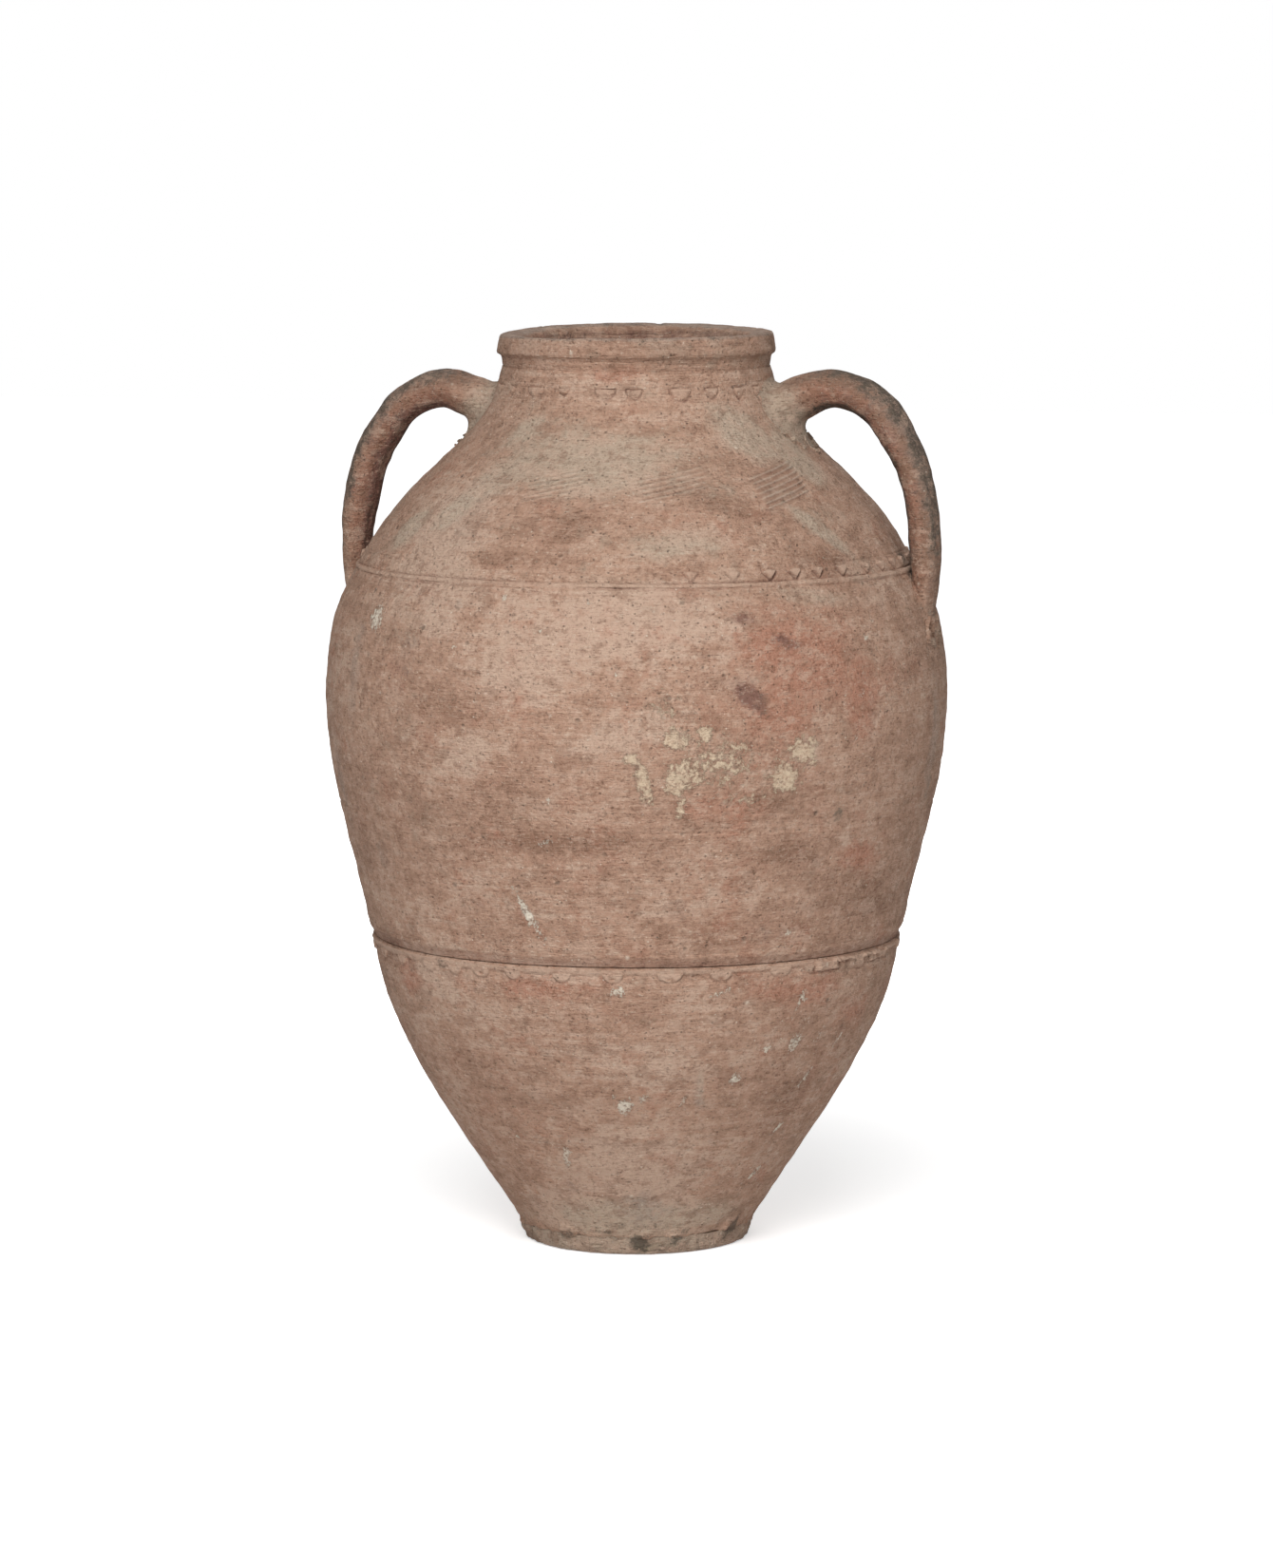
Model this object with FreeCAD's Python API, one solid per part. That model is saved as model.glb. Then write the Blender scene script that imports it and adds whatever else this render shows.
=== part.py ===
"""Two-handled storage jar of fired clay, made the way a potter makes one.

Thrown courses are set on one another with lap joints, a luting coil is pressed over each main joint, a coil
makes the lip, and two pulled handles are bedded in clay pads.

Millimetres. +Z is up, the origin is the middle of the foot's underside, and the handles lie along +X and -X.
Each piece is one closed solid, written to parts/NAME.step.
"""

import FreeCAD
import Part

import math
import os

from FreeCAD import Vector

# Heights of the joints between courses, and of the whole jar.
FOOT_THICKNESS = 16.0
LOWER_SEAM = 256.0
BELLY_SEAM = 366.0
SHOULDER_SEAM = 558.0
NECK_SEAM = 707.0
NECK_TOP = 722.0
HEIGHT = 750.0

# Walls and joints.
WALL = 13.5
TONGUE = 8.0
TONGUE_TAPER = 1.5

# Foot.
FOOT_RADIUS = 88.5
FOOT_EDGE_ROUND = 3.0
FOOT_TOP_RADIUS = 95.0
FLOOR_RADIUS = 77.0

# Lip: a coil pressed over the neck's top edge, with a round throat that takes a stopper or a lid.
THROAT_RADIUS = 89.0
THROAT_FOOT = 728.0
THROAT_TOP = 746.0
LIP_RADIUS = 115.0
LIP_WIDEST = 732.0
LIP_TOP_RADIUS = 111.5
LIP_ROUND = 3.0
NECK_TONGUE_TOP = 731.0
NECK_TONGUE_INSET = 2.0

# Outside of the wall as (radius, height): the base course below the lower seam, and all the courses above
# it, which stand a little proud of the base.
BASE_OUTSIDE = [
    (95.5, FOOT_THICKNESS), (124.5, 60), (163.5, 120),
    (196, 180), (211.5, 222), (217, LOWER_SEAM),
]
BODY_OUTSIDE = [
    (220, LOWER_SEAM), (228, 300), (236, 331), (244.8, BELLY_SEAM), (253.6, 412), (256.5, 450),
    (254.2, 486), (248.3, 518), (230.3, SHOULDER_SEAM), (203.5, 600), (157, 648), (138.5, 666),
    (124, 684), (117.5, 696), (114, NECK_SEAM), (110.9, 715), (110.3, NECK_TOP),
]

# Luting coils: lowest height, highest height, and how far they stand proud of the wall.
LOWER_COIL = (246.5, LOWER_SEAM, 2.2)
SHOULDER_COIL = (554.0, 563.0, 2.0)
NECK_COIL = (700.0, 711.0, 1.5)

# Handle: middle line as (distance from the axis, height), with the thickness in the line's plane and the
# width across it. It starts and ends inside the wall, where it is cut back to the wall's outside.
HANDLE_LINE = [
    (106, 682, 40, 52),
    (138, 697, 36, 48),
    (168, 705, 31, 43),
    (200, 692.5, 30, 41),
    (222, 663, 29.5, 40),
    (233.5, 635, 29.5, 40),
    (239.5, 600, 30, 41),
    (240.5, 565, 29, 42),
    (237.5, 524, 22, 36),
]
# The two handles are pulled by eye: how far each differs in reach and in height.
RIGHT_HANDLE_SHIFT = (0.0, 0.0)
LEFT_HANDLE_SHIFT = (-2.5, -4.0)

# Clay pads round the handle roots: what they add to the handle's half thickness and half width, at the first
# stations of its line for the neck pad and at the last ones for the shoulder pad.
NECK_PAD_SPREAD = [(7.0, 13.0), (3.0, 6.0), (0.6, 0.8)]
SHOULDER_PAD_SPREAD = [(0.4, 0.8), (1.0, 8.0), (2.5, 13.0)]


def at(point):
    """A point of the outline plane, which is y = 0."""
    radius, height = point
    return Vector(radius, 0, height)


def spline(points):
    curve = Part.BSplineCurve()
    curve.interpolate([at(p) for p in points])
    return curve


def inward(points, distance):
    """The outline moved towards the inside of the wall, square to its own direction."""
    moved = []
    for i, (radius, height) in enumerate(points):
        before, after = points[max(i - 1, 0)], points[min(i + 1, len(points) - 1)]
        run, rise = after[0] - before[0], after[1] - before[1]
        length = math.hypot(run, rise)
        moved.append((radius - distance * rise / length, height + distance * run / length))
    return moved


def at_height(curve, height):
    """Where an outline, which rises all the way, is at that height: its parameter and its radius."""
    low, high = curve.FirstParameter, curve.LastParameter
    for _ in range(50):
        middle = (low + high) / 2
        if curve.value(middle).z < height:
            low = middle
        else:
            high = middle
    return middle, curve.value(middle).x


def stretch(curve, bottom, top):
    """The edge of an outline between two heights."""
    return Part.Edge(curve, at_height(curve, bottom)[0], at_height(curve, top)[0])


def line(a, b):
    return Part.makeLine(at(a), at(b))


def path(points):
    return [line(a, b) for a, b in zip(points, points[1:])]


def arc(a, middle, b):
    return Part.Arc(at(a), at(middle), at(b)).toShape()


def turned(edges):
    """The solid that a closed outline makes when it goes once round the jar's axis."""
    wire = Part.Wire(Part.__sortEdges__(edges))
    return Part.Face(wire).revolve(Vector(0, 0, 0), Vector(0, 0, 1), 360)


BASE = spline(BASE_OUTSIDE)
BODY = spline(BODY_OUTSIDE)
INSIDE = spline([(FLOOR_RADIUS, FOOT_THICKNESS)] + inward(BASE_OUTSIDE[1:-1] + BODY_OUTSIDE[1:], WALL))


def lap(outside, height):
    """A lap joint, from the outside in: a ledge, and a tongue that rises inside the course above."""
    top = height + TONGUE
    radius = at_height(outside, height)[1]
    inner = at_height(INSIDE, top)[1]
    middle = (radius + at_height(INSIDE, height)[1]) / 2
    return [(radius, height), (middle, height), (middle - TONGUE_TAPER, top), (inner, top)]


def course(outside, bottom, top):
    """A thrown course between two joints. Each joint is a list of points from the outside in."""
    sides = [
        stretch(outside, bottom[0][1], top[0][1]),
        stretch(INSIDE, bottom[-1][1], top[-1][1]),
    ]
    return turned(sides + path(bottom) + path(top))


def make_foot_slab():
    edge = FOOT_RADIUS + FOOT_EDGE_ROUND
    bevel = FOOT_EDGE_ROUND * (1 - math.sqrt(0.5))
    return turned(
        [
            line((0, 0), (FOOT_RADIUS, 0)),
            arc((FOOT_RADIUS, 0), (edge - bevel, bevel), (edge, FOOT_EDGE_ROUND)),
            line((edge, FOOT_EDGE_ROUND), (FOOT_TOP_RADIUS, FOOT_THICKNESS)),
            line((FOOT_TOP_RADIUS, FOOT_THICKNESS), (0, FOOT_THICKNESS)),
            line((0, FOOT_THICKNESS), (0, 0)),
        ]
    )


def make_courses():
    base_radius = BASE_OUTSIDE[0][0]
    floor_joint = [(base_radius, FOOT_THICKNESS), (FLOOR_RADIUS, FOOT_THICKNESS)]
    lower = lap(BODY, LOWER_SEAM)
    base_top = [BASE_OUTSIDE[-1]] + lower[1:]
    belly = lap(BODY, BELLY_SEAM)
    shoulder = lap(BODY, SHOULDER_SEAM)
    neck = lap(BODY, NECK_SEAM)
    return {
        "base_cone": course(BASE, floor_joint, base_top),
        "lower_belly_course": course(BODY, lower, belly),
        "upper_belly_course": course(BODY, belly, shoulder),
        "shoulder_dome": course(BODY, shoulder, neck),
        "neck_collar": course(BODY, neck, neck_tongue()),
    }


def neck_tongue():
    """The neck's top edge, which the lip's coil is pressed over, from the outside in."""
    outer, inner = BODY_OUTSIDE[-1][0], at_height(INSIDE, NECK_TOP)[1]
    return [
        (outer, NECK_TOP),
        (outer - NECK_TONGUE_INSET, NECK_TONGUE_TOP),
        (inner + NECK_TONGUE_INSET, NECK_TONGUE_TOP),
        (inner, INSIDE.value(INSIDE.LastParameter).z),
    ]


def make_rim_coil():
    tongue = neck_tongue()
    bevel = LIP_ROUND * (1 - math.sqrt(0.5))
    shoulder = (LIP_TOP_RADIUS, HEIGHT - LIP_ROUND)
    crown = (LIP_TOP_RADIUS - LIP_ROUND, HEIGHT)
    inner_round = HEIGHT - THROAT_TOP
    inner_crown = (THROAT_RADIUS + inner_round, HEIGHT)
    inner_bevel = inner_round * (1 - math.sqrt(0.5))
    return turned(
        path(tongue)
        + path([tongue[0], (LIP_RADIUS, LIP_WIDEST), shoulder])
        + [
            arc(shoulder, (LIP_TOP_RADIUS - bevel, HEIGHT - bevel), crown),
            line(crown, inner_crown),
            arc(inner_crown, (THROAT_RADIUS + inner_bevel, HEIGHT - inner_bevel), (THROAT_RADIUS, THROAT_TOP)),
        ]
        + path([(THROAT_RADIUS, THROAT_TOP), (THROAT_RADIUS, THROAT_FOOT), tongue[-1]])
    )


def filled(outside):
    """All the space that a wall's outside encloses, down to the axis."""
    bottom, top = outside.value(outside.FirstParameter), outside.value(outside.LastParameter)
    return turned(
        [outside.toShape()] + path([(bottom.x, bottom.z), (0, bottom.z), (0, top.z), (top.x, top.z)])
    )


def luting_coil(outside, coil):
    """A coil of clay pressed over a joint: a low round bead on the wall."""
    bottom, top, proud = coil
    low, high = at_height(outside, bottom)[1], at_height(outside, top)[1]
    crest = ((low + high) / 2 + proud, (bottom + top) / 2)
    return turned([stretch(outside, bottom, top), arc((low, bottom), crest, (high, top))])


def handle_stations(side, shift):
    """Sections along a handle: centre, direction of its thickness, half thickness and half width."""
    reach, lift = shift
    line_points = [(distance + reach, height + lift) for distance, height, _, _ in HANDLE_LINE]
    curve = spline(line_points)
    stations = []
    for point, (_, _, thick, wide) in zip(line_points, HANDLE_LINE):
        tangent = curve.tangent(curve.parameter(at(point)))[0]
        centre = Vector(side * point[0], 0, point[1])
        across = Vector(-side * tangent.z, 0, tangent.x)
        stations.append((centre, across, thick / 2, wide / 2))
    return stations


def skin(stations, spreads):
    """A solid through oval sections, each grown by its spread in thickness and in width."""
    ovals = []
    for (centre, across, half_thick, half_wide), (thicker, wider) in zip(stations, spreads):
        wide = centre + Vector(0, half_wide + wider, 0)
        thick = centre + across * (half_thick + thicker)
        ovals.append(Part.Wire(Part.Ellipse(wide, thick, centre).toShape()))
    return Part.makeLoft(ovals, True, False)


def make_handle(name, side, shift, wall):
    """A handle and its two pads, each cut back to what it is pressed against."""
    stations = handle_stations(side, shift)
    handle = skin(stations, [(0, 0)] * len(stations)).cut(wall)
    neck_count, shoulder_count = len(NECK_PAD_SPREAD), len(SHOULDER_PAD_SPREAD)
    neck_pad = skin(stations[:neck_count], NECK_PAD_SPREAD)
    shoulder_pad = skin(stations[-shoulder_count:], SHOULDER_PAD_SPREAD)
    return {
        name: largest(handle),
        name + "_neck_pad": largest(neck_pad.cut(wall).cut(handle)),
        name + "_shoulder_pad": largest(shoulder_pad.cut(wall).cut(handle)),
    }


def largest(shape):
    return max(shape.Solids, key=lambda solid: solid.Volume)


def make_parts():
    parts = {"foot_slab": make_foot_slab()}
    parts.update(make_courses())
    parts["rim_coil"] = make_rim_coil()
    parts["lower_seam_coil"] = luting_coil(BASE, LOWER_COIL)
    parts["shoulder_seam_coil"] = luting_coil(BODY, SHOULDER_COIL)
    parts["neck_seam_coil"] = luting_coil(BODY, NECK_COIL)
    wall = filled(BODY).fuse([parts["shoulder_seam_coil"], parts["neck_seam_coil"], parts["rim_coil"]])
    parts.update(make_handle("right_handle", 1, RIGHT_HANDLE_SHIFT, wall))
    parts.update(make_handle("left_handle", -1, LEFT_HANDLE_SHIFT, wall))
    return parts


def main():
    os.makedirs("parts", exist_ok=True)
    for name, shape in make_parts().items():
        shape.exportStep(f"parts/{name}.step")
        box = shape.BoundBox
        print(
            f"{name}: {len(shape.Solids)} solid, valid {shape.isValid()}, {shape.Volume / 1000:.1f} cm3, "
            f"x {box.XMin:.1f}..{box.XMax:.1f}, z {box.ZMin:.1f}..{box.ZMax:.1f}"
        )


main()
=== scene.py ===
"""A two-handled storage jar of fired clay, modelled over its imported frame.

The wall courses, the lip, the foot, the luting bands, the handles and their pads are each turned, pulled or
pressed as a piece of their own, and share one family of weathered clay finishes. Metres, in the frame's own
axes: +Z up, the origin under the middle of the foot, the handles along +X and -X. Angles are in degrees
round the jar from +X, and the side that the camera faces is near -75.
"""

import math

import bmesh
import bpy
import numpy as np
from bpy.props import FloatProperty, FloatVectorProperty, IntProperty, PointerProperty
from mathutils import Euler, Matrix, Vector
from mathutils.bvhtree import BVHTree


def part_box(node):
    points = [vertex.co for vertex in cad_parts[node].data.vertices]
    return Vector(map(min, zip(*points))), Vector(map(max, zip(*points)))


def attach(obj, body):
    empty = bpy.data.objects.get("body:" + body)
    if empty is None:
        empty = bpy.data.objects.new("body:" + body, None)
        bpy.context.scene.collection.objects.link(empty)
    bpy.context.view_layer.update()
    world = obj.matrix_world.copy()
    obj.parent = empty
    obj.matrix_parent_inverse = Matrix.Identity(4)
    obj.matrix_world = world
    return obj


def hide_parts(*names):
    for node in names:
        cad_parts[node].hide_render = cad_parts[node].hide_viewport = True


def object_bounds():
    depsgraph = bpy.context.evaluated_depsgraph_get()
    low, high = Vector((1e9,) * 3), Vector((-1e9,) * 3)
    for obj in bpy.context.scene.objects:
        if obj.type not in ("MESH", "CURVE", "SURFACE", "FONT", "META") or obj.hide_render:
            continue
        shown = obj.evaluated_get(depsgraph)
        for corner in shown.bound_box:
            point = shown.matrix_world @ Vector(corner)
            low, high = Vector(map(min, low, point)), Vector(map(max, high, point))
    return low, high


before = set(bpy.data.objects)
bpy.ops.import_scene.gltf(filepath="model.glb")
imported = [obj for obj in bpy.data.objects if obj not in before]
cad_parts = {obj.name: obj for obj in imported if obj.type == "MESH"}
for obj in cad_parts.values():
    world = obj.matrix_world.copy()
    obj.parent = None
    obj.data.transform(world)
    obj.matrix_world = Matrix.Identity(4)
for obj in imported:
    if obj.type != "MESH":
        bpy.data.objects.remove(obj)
CAD_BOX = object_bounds()

bl_info = {
    "name": "Weathered storage jar",
    "version": (1, 0, 0),
    "blender": (4, 5, 0),
    "location": "View3D > Sidebar > Jar",
    "description": "Turns, presses and weathers a two-handled jar of fired clay over its frame",
    "category": "Add Mesh",
}

MM = 0.001
HEIGHT = CAD_BOX[1][2]
CREASE_ANGLE = math.radians(50)
LEAST_WEIGHT = 0.002


def top_of(node):
    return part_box(node)[1][2]


def bottom_of(node):
    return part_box(node)[0][2]


FOOT_TOP = top_of("foot_slab")
LOWER_SEAM = bottom_of("lower_belly_course")
BELLY_SEAM = bottom_of("upper_belly_course")
SHOULDER_SEAM = bottom_of("shoulder_dome")
NECK_SEAM = bottom_of("neck_collar")
LIP_OVERLAP = 9 * MM
LIP_FOOT = top_of("neck_collar") - LIP_OVERLAP


# ---------------------------------------------------------------- sizes and colours that a user would change


class JarShape(bpy.types.PropertyGroup):
    facets: IntProperty(
        name="Facets", description="Faces round the jar on each turned piece", default=768, min=96, max=1024
    )
    ring_gap: FloatProperty(
        name="Ring gap", description="Height between rings of a turned wall",
        default=3.0 * MM, unit="LENGTH",
    )
    wall: FloatProperty(
        name="Wall", description="Thickness of the clay wall",
        default=13.5 * MM, unit="LENGTH",
    )
    wobble: FloatProperty(
        name="Wobble", description="How far the hand-built wall wanders from a true round",
        default=3.4 * MM, unit="LENGTH",
    )
    ripple: FloatProperty(
        name="Throwing ripple", description="Height of the level ripples that throwing leaves",
        default=1.5 * MM, unit="LENGTH",
    )
    roughness: FloatProperty(
        name="Skin", description="Height of the lumps and hollows of the weathered skin", default=1.0 * MM,
        unit="LENGTH",
    )


class JarColours(bpy.types.PropertyGroup):
    pale: FloatVectorProperty(
        name="Pale", description="Palest pink of the fired clay",
        default=(0.55, 0.38, 0.285), subtype="COLOR", size=3,
    )
    clay: FloatVectorProperty(
        name="Clay", description="Pink-brown fired clay",
        default=(0.465, 0.285, 0.20), subtype="COLOR", size=3,
    )
    brown: FloatVectorProperty(
        name="Brown", description="Darker brown of old, worn clay",
        default=(0.29, 0.165, 0.11), subtype="COLOR", size=3,
    )
    red: FloatVectorProperty(
        name="Red", description="Redder clay where the skin is rubbed off", default=(0.43, 0.205, 0.135),
        subtype="COLOR", size=3,
    )
    dust: FloatVectorProperty(
        name="Dust", description="Grey-beige dust that lies on the shoulder", default=(0.50, 0.40, 0.305),
        subtype="COLOR", size=3,
    )
    grey: FloatVectorProperty(
        name="Grey", description="Grey bloom of old lime wash",
        default=(0.36, 0.29, 0.24), subtype="COLOR", size=3,
    )
    mauve: FloatVectorProperty(
        name="Mauve", description="Purple-brown smudges",
        default=(0.19, 0.095, 0.075), subtype="COLOR", size=3,
    )
    lime: FloatVectorProperty(
        name="Lime", description="Whitish lime deposits and flecks",
        default=(0.76, 0.68, 0.56), subtype="COLOR", size=3,
    )
    cream: FloatVectorProperty(
        name="Cream", description="Cream crust on the belly",
        default=(0.66, 0.52, 0.37), subtype="COLOR", size=3,
    )
    soot: FloatVectorProperty(
        name="Soot", description="Dark green-black lichen and soot",
        default=(0.07, 0.062, 0.045), subtype="COLOR", size=3,
    )


class JarStage(bpy.types.PropertyGroup):
    camera_turn: FloatProperty(
        name="Camera turn", description="How far the camera stands round the jar from -Y, towards +X",
        default=math.radians(15), subtype="ANGLE",
    )
    camera_distance: FloatProperty(
        name="Camera distance", description="Level distance from the jar's axis",
        default=4.8494, unit="LENGTH",
    )
    camera_height: FloatProperty(
        name="Camera height", description="Height of the lens above the floor",
        default=0.9568, unit="LENGTH",
    )
    aim_height: FloatProperty(
        name="Aim height", description="Height on the jar's axis that the camera looks at", default=0.377,
        unit="LENGTH",
    )
    lens: FloatProperty(name="Lens", description="Focal length in millimetres", default=135.9)
    floor_colour: FloatVectorProperty(
        name="Floor", description="Plain pale floor", default=(0.93, 0.93, 0.93), subtype="COLOR", size=3
    )
    floor_glow: FloatProperty(
        name="Floor glow", description="How white the floor shows right under the jar", default=0.50
    )
    daylight: FloatProperty(
        name="Daylight", description="Strength of the even light all round",
        default=0.14,
    )
    key_light: FloatProperty(
        name="Key light", description="Power of the large soft light in front",
        default=184.0,
    )
    back_light: FloatProperty(name="Back light", description="Power of the soft light behind", default=42.0)
    fill_light: FloatProperty(
        name="Fill light", description="Power of the soft light on the right",
        default=10.0,
    )


def shape():
    return bpy.context.scene.jar_shape


def colours():
    return bpy.context.scene.jar_colours


# ---------------------------------------------------------------- modelling by hand, in code


def pick(*pieces):
    """Selects these objects only and makes the first one active."""
    bpy.ops.object.select_all(action="DESELECT")
    for piece in pieces:
        piece.select_set(True)
    bpy.context.view_layer.objects.active = pieces[0]


def settle(piece):
    """Puts a piece's place into its mesh, so that the object sits at the origin."""
    pick(piece)
    bpy.ops.object.transform_apply(location=True, rotation=True, scale=True)


def bake(piece, modifier):
    pick(piece)
    bpy.ops.object.modifier_apply(modifier=modifier.name)


def points_of(piece):
    """The piece's points as an array."""
    flat = np.empty(len(piece.data.vertices) * 3)
    piece.data.vertices.foreach_get("co", flat)
    return flat.reshape(-1, 3)


def drawn_line(name, outline):
    """A chain of edges in the plane y = 0, through points given as (radius, height)."""
    bpy.ops.object.select_all(action="DESELECT")
    start = outline[0]
    bpy.ops.mesh.primitive_plane_add(size=MM, location=(start[0], 0, start[1]))
    line = bpy.context.object
    line.name = name
    settle(line)
    bpy.ops.object.mode_set(mode="EDIT")
    bpy.ops.mesh.select_mode(type="VERT")
    bpy.ops.mesh.select_all(action="SELECT")
    bpy.ops.mesh.merge(type="CENTER")
    for before, after in zip(outline, outline[1:]):
        step = (after[0] - before[0], 0, after[1] - before[1])
        bpy.ops.mesh.extrude_vertices_move(TRANSFORM_OT_translate={"value": step})
    return line


def turned(name, outline, facets, closed):
    """An outline turned once round the jar's axis. A closed outline makes a solid, an open one a skin."""
    piece = drawn_line(name, outline)
    if closed:
        bpy.ops.mesh.select_all(action="SELECT")
        bpy.ops.mesh.select_mode(type="VERT")
        ends = bmesh.from_edit_mesh(piece.data)
        ends.verts.ensure_lookup_table()
        for vert in ends.verts:
            vert.select_set(len(vert.link_edges) == 1)
        bmesh.update_edit_mesh(piece.data)
        bpy.ops.mesh.edge_face_add()
    bpy.ops.object.mode_set(mode="OBJECT")
    turn = piece.modifiers.new("turn", "SCREW")
    turn.axis = "Z"
    turn.steps = turn.render_steps = facets
    turn.use_merge_vertices = True
    turn.merge_threshold = 0.01 * MM
    bake(piece, turn)
    bpy.ops.object.mode_set(mode="EDIT")
    bpy.ops.mesh.select_all(action="SELECT")
    bpy.ops.mesh.remove_doubles(threshold=0.01 * MM)
    bpy.ops.mesh.normals_make_consistent(inside=False)
    bpy.ops.object.mode_set(mode="OBJECT")
    face_outwards(piece)
    return piece


def face_outwards(piece):
    """Turns an open skin of the jar right side out."""
    data = piece.data
    lean = sum(face.normal.x * face.center.x + face.normal.y * face.center.y for face in data.polygons)
    if lean < 0 and any(edge_is_open(data)):
        data.flip_normals()


def edge_is_open(data):
    counts = np.zeros(len(data.edges), dtype=int)
    loops = np.empty(len(data.loops), dtype=int)
    data.loops.foreach_get("edge_index", loops)
    np.add.at(counts, loops, 1)
    return counts == 1


def close_wall(piece, inner):
    """Gives an open outside its wall: over the top edge, down the inside, and back under the bottom edge.

    inner is the inside's outline from top to bottom, as (radius, height).
    """
    pick(piece)
    bpy.ops.object.mode_set(mode="EDIT")
    bpy.ops.mesh.select_mode(type="EDGE")
    select_open_loop(piece, highest=True)
    radius, height = loop_place(piece)
    for next_radius, next_height in inner:
        bpy.ops.mesh.extrude_edges_move(TRANSFORM_OT_translate={"value": (0, 0, next_height - height)})
        shrink = next_radius / radius
        bpy.ops.transform.resize(value=(shrink, shrink, 1), center_override=(0, 0, next_height))
        radius, height = next_radius, next_height
    select_open_loop(piece, highest=None)
    bpy.ops.mesh.bridge_edge_loops()
    bpy.ops.mesh.select_all(action="SELECT")
    bpy.ops.mesh.normals_make_consistent(inside=False)
    bpy.ops.object.mode_set(mode="OBJECT")


def select_open_loop(piece, highest):
    """Selects the open edges of a wall: the upper loop only, or with highest=None both loops."""
    mesh = bmesh.from_edit_mesh(piece.data)
    for element in (*mesh.verts, *mesh.edges, *mesh.faces):
        element.select = False
    edges = [edge for edge in mesh.edges if edge.is_boundary]
    if highest:
        top = max(edge.verts[0].co.z for edge in edges)
        low = min(edge.verts[0].co.z for edge in edges)
        edges = [edge for edge in edges if edge.verts[0].co.z > (top + low) / 2]
    for edge in edges:
        edge.select_set(True)
    bmesh.update_edit_mesh(piece.data)


def loop_place(piece):
    """Mean radius and height of the selected points."""
    mesh = bmesh.from_edit_mesh(piece.data)
    chosen = [vert.co for vert in mesh.verts if vert.select]
    radius = sum(math.hypot(co.x, co.y) for co in chosen) / len(chosen)
    return radius, sum(co.z for co in chosen) / len(chosen)


def weigh(piece, group_name, weights):
    """Gives a piece a vertex group from an array of weights."""
    group = piece.vertex_groups.new(name=group_name)
    for index in np.flatnonzero(weights > LEAST_WEIGHT):
        group.add([int(index)], float(min(weights[index], 1)), "REPLACE")
    return group.name


def displace(piece, depth, texture=None, group="", middle=0.5, guide=None, direction="NORMAL"):
    """Moves a piece's skin in or out by a texture, a vertex group or both."""
    move = piece.modifiers.new("relief", "DISPLACE")
    move.strength = depth
    move.texture = texture
    move.mid_level = middle
    move.direction = direction
    move.vertex_group = group
    if guide:
        move.texture_coords = "OBJECT"
        move.texture_coords_object = guide
    bake(piece, move)


def press(piece, name, weights, depth):
    """Raises a piece by depth where its weights are 1, or with a negative depth sinks it."""
    displace(piece, depth, group=weigh(piece, name, weights), middle=0)


def smoothed(piece):
    """Subdivides a piece once, for good."""
    smooth = piece.modifiers.new("smooth", "SUBSURF")
    smooth.levels = smooth.render_levels = 1
    bake(piece, smooth)


def thicken(piece, thickness):
    """Gives an open skin a back of its own, sunk below it."""
    back = piece.modifiers.new("back", "SOLIDIFY")
    back.thickness = thickness
    back.offset = -1
    bake(piece, back)


def cloudy(name, size, detail=2):
    texture = bpy.data.textures.get(name) or bpy.data.textures.new(name, "CLOUDS")
    texture.noise_scale = size
    texture.noise_depth = detail
    return texture


def guide_empty(name, scale):
    """An empty that stretches a texture by its scale."""
    bpy.ops.object.select_all(action="DESELECT")
    bpy.ops.object.empty_add(location=(0, 0, 0))
    guide = bpy.context.object
    guide.name = name
    guide.scale = scale
    bpy.context.view_layer.update()
    return guide


def finish_piece(piece, node, slot):
    """Smooths a piece, gives it its clay and marks, and hands it to the frame in place of its CAD node."""
    pick(piece)
    bpy.ops.object.shade_smooth_by_angle(angle=CREASE_ANGLE)
    piece.data.materials.clear()
    piece.data.materials.append(clay_finish(slot))
    piece.vertex_groups.clear()
    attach(piece, "root")
    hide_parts(node)
    paint_marks(piece)


# ---------------------------------------------------------------- the jar's outline, from the frame


def smooth_through(xs, ys, x):
    """Value at x of the smooth curve through the points."""
    i = int(np.clip(np.searchsorted(xs, x) - 1, 0, len(xs) - 2))
    before, after = max(i - 1, 0), min(i + 2, len(xs) - 1)
    span = xs[i + 1] - xs[i]
    t = (x - xs[i]) / span
    slope_a = (ys[i + 1] - ys[before]) / (xs[i + 1] - xs[before]) * span
    slope_b = (ys[after] - ys[i]) / (xs[after] - xs[i]) * span
    a, b = ys[i], ys[i + 1]
    return (
        (2 * t**3 - 3 * t**2 + 1) * a + (t**3 - 2 * t**2 + t) * slope_a
        + (3 * t**2 - 2 * t**3) * b + (t**3 - t**2) * slope_b
    )


# The outline is read by a level ray from outside the jar. Its angle keeps it off the plane where the handles
# meet the wall.
RAY_ANGLE = -73
RAY_START = 0.5


class Outline:
    """Radius of the jar's outside at any height between two joints, as its CAD nodes have it."""

    def __init__(self, nodes, bottom, top, gap=14 * MM):
        count = max(3, round((top - bottom) / gap))
        inset = 0.3 * MM
        self.heights = np.linspace(bottom + inset, top - inset, count)
        self.radii = [self.cast(nodes, height) for height in self.heights]

    def cast(self, nodes, height):
        start, inwards = Vector((RAY_START, 0, height)), Vector((-1, 0, 0))
        turn = Euler((0, 0, math.radians(RAY_ANGLE))).to_matrix()
        found = []
        for node in nodes:
            hit, place, _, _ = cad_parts[node].ray_cast(turn @ start, turn @ inwards)
            if hit:
                found.append(math.hypot(place.x, place.y))
        return max(found)

    def __call__(self, height):
        return smooth_through(self.heights, self.radii, height)


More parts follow.
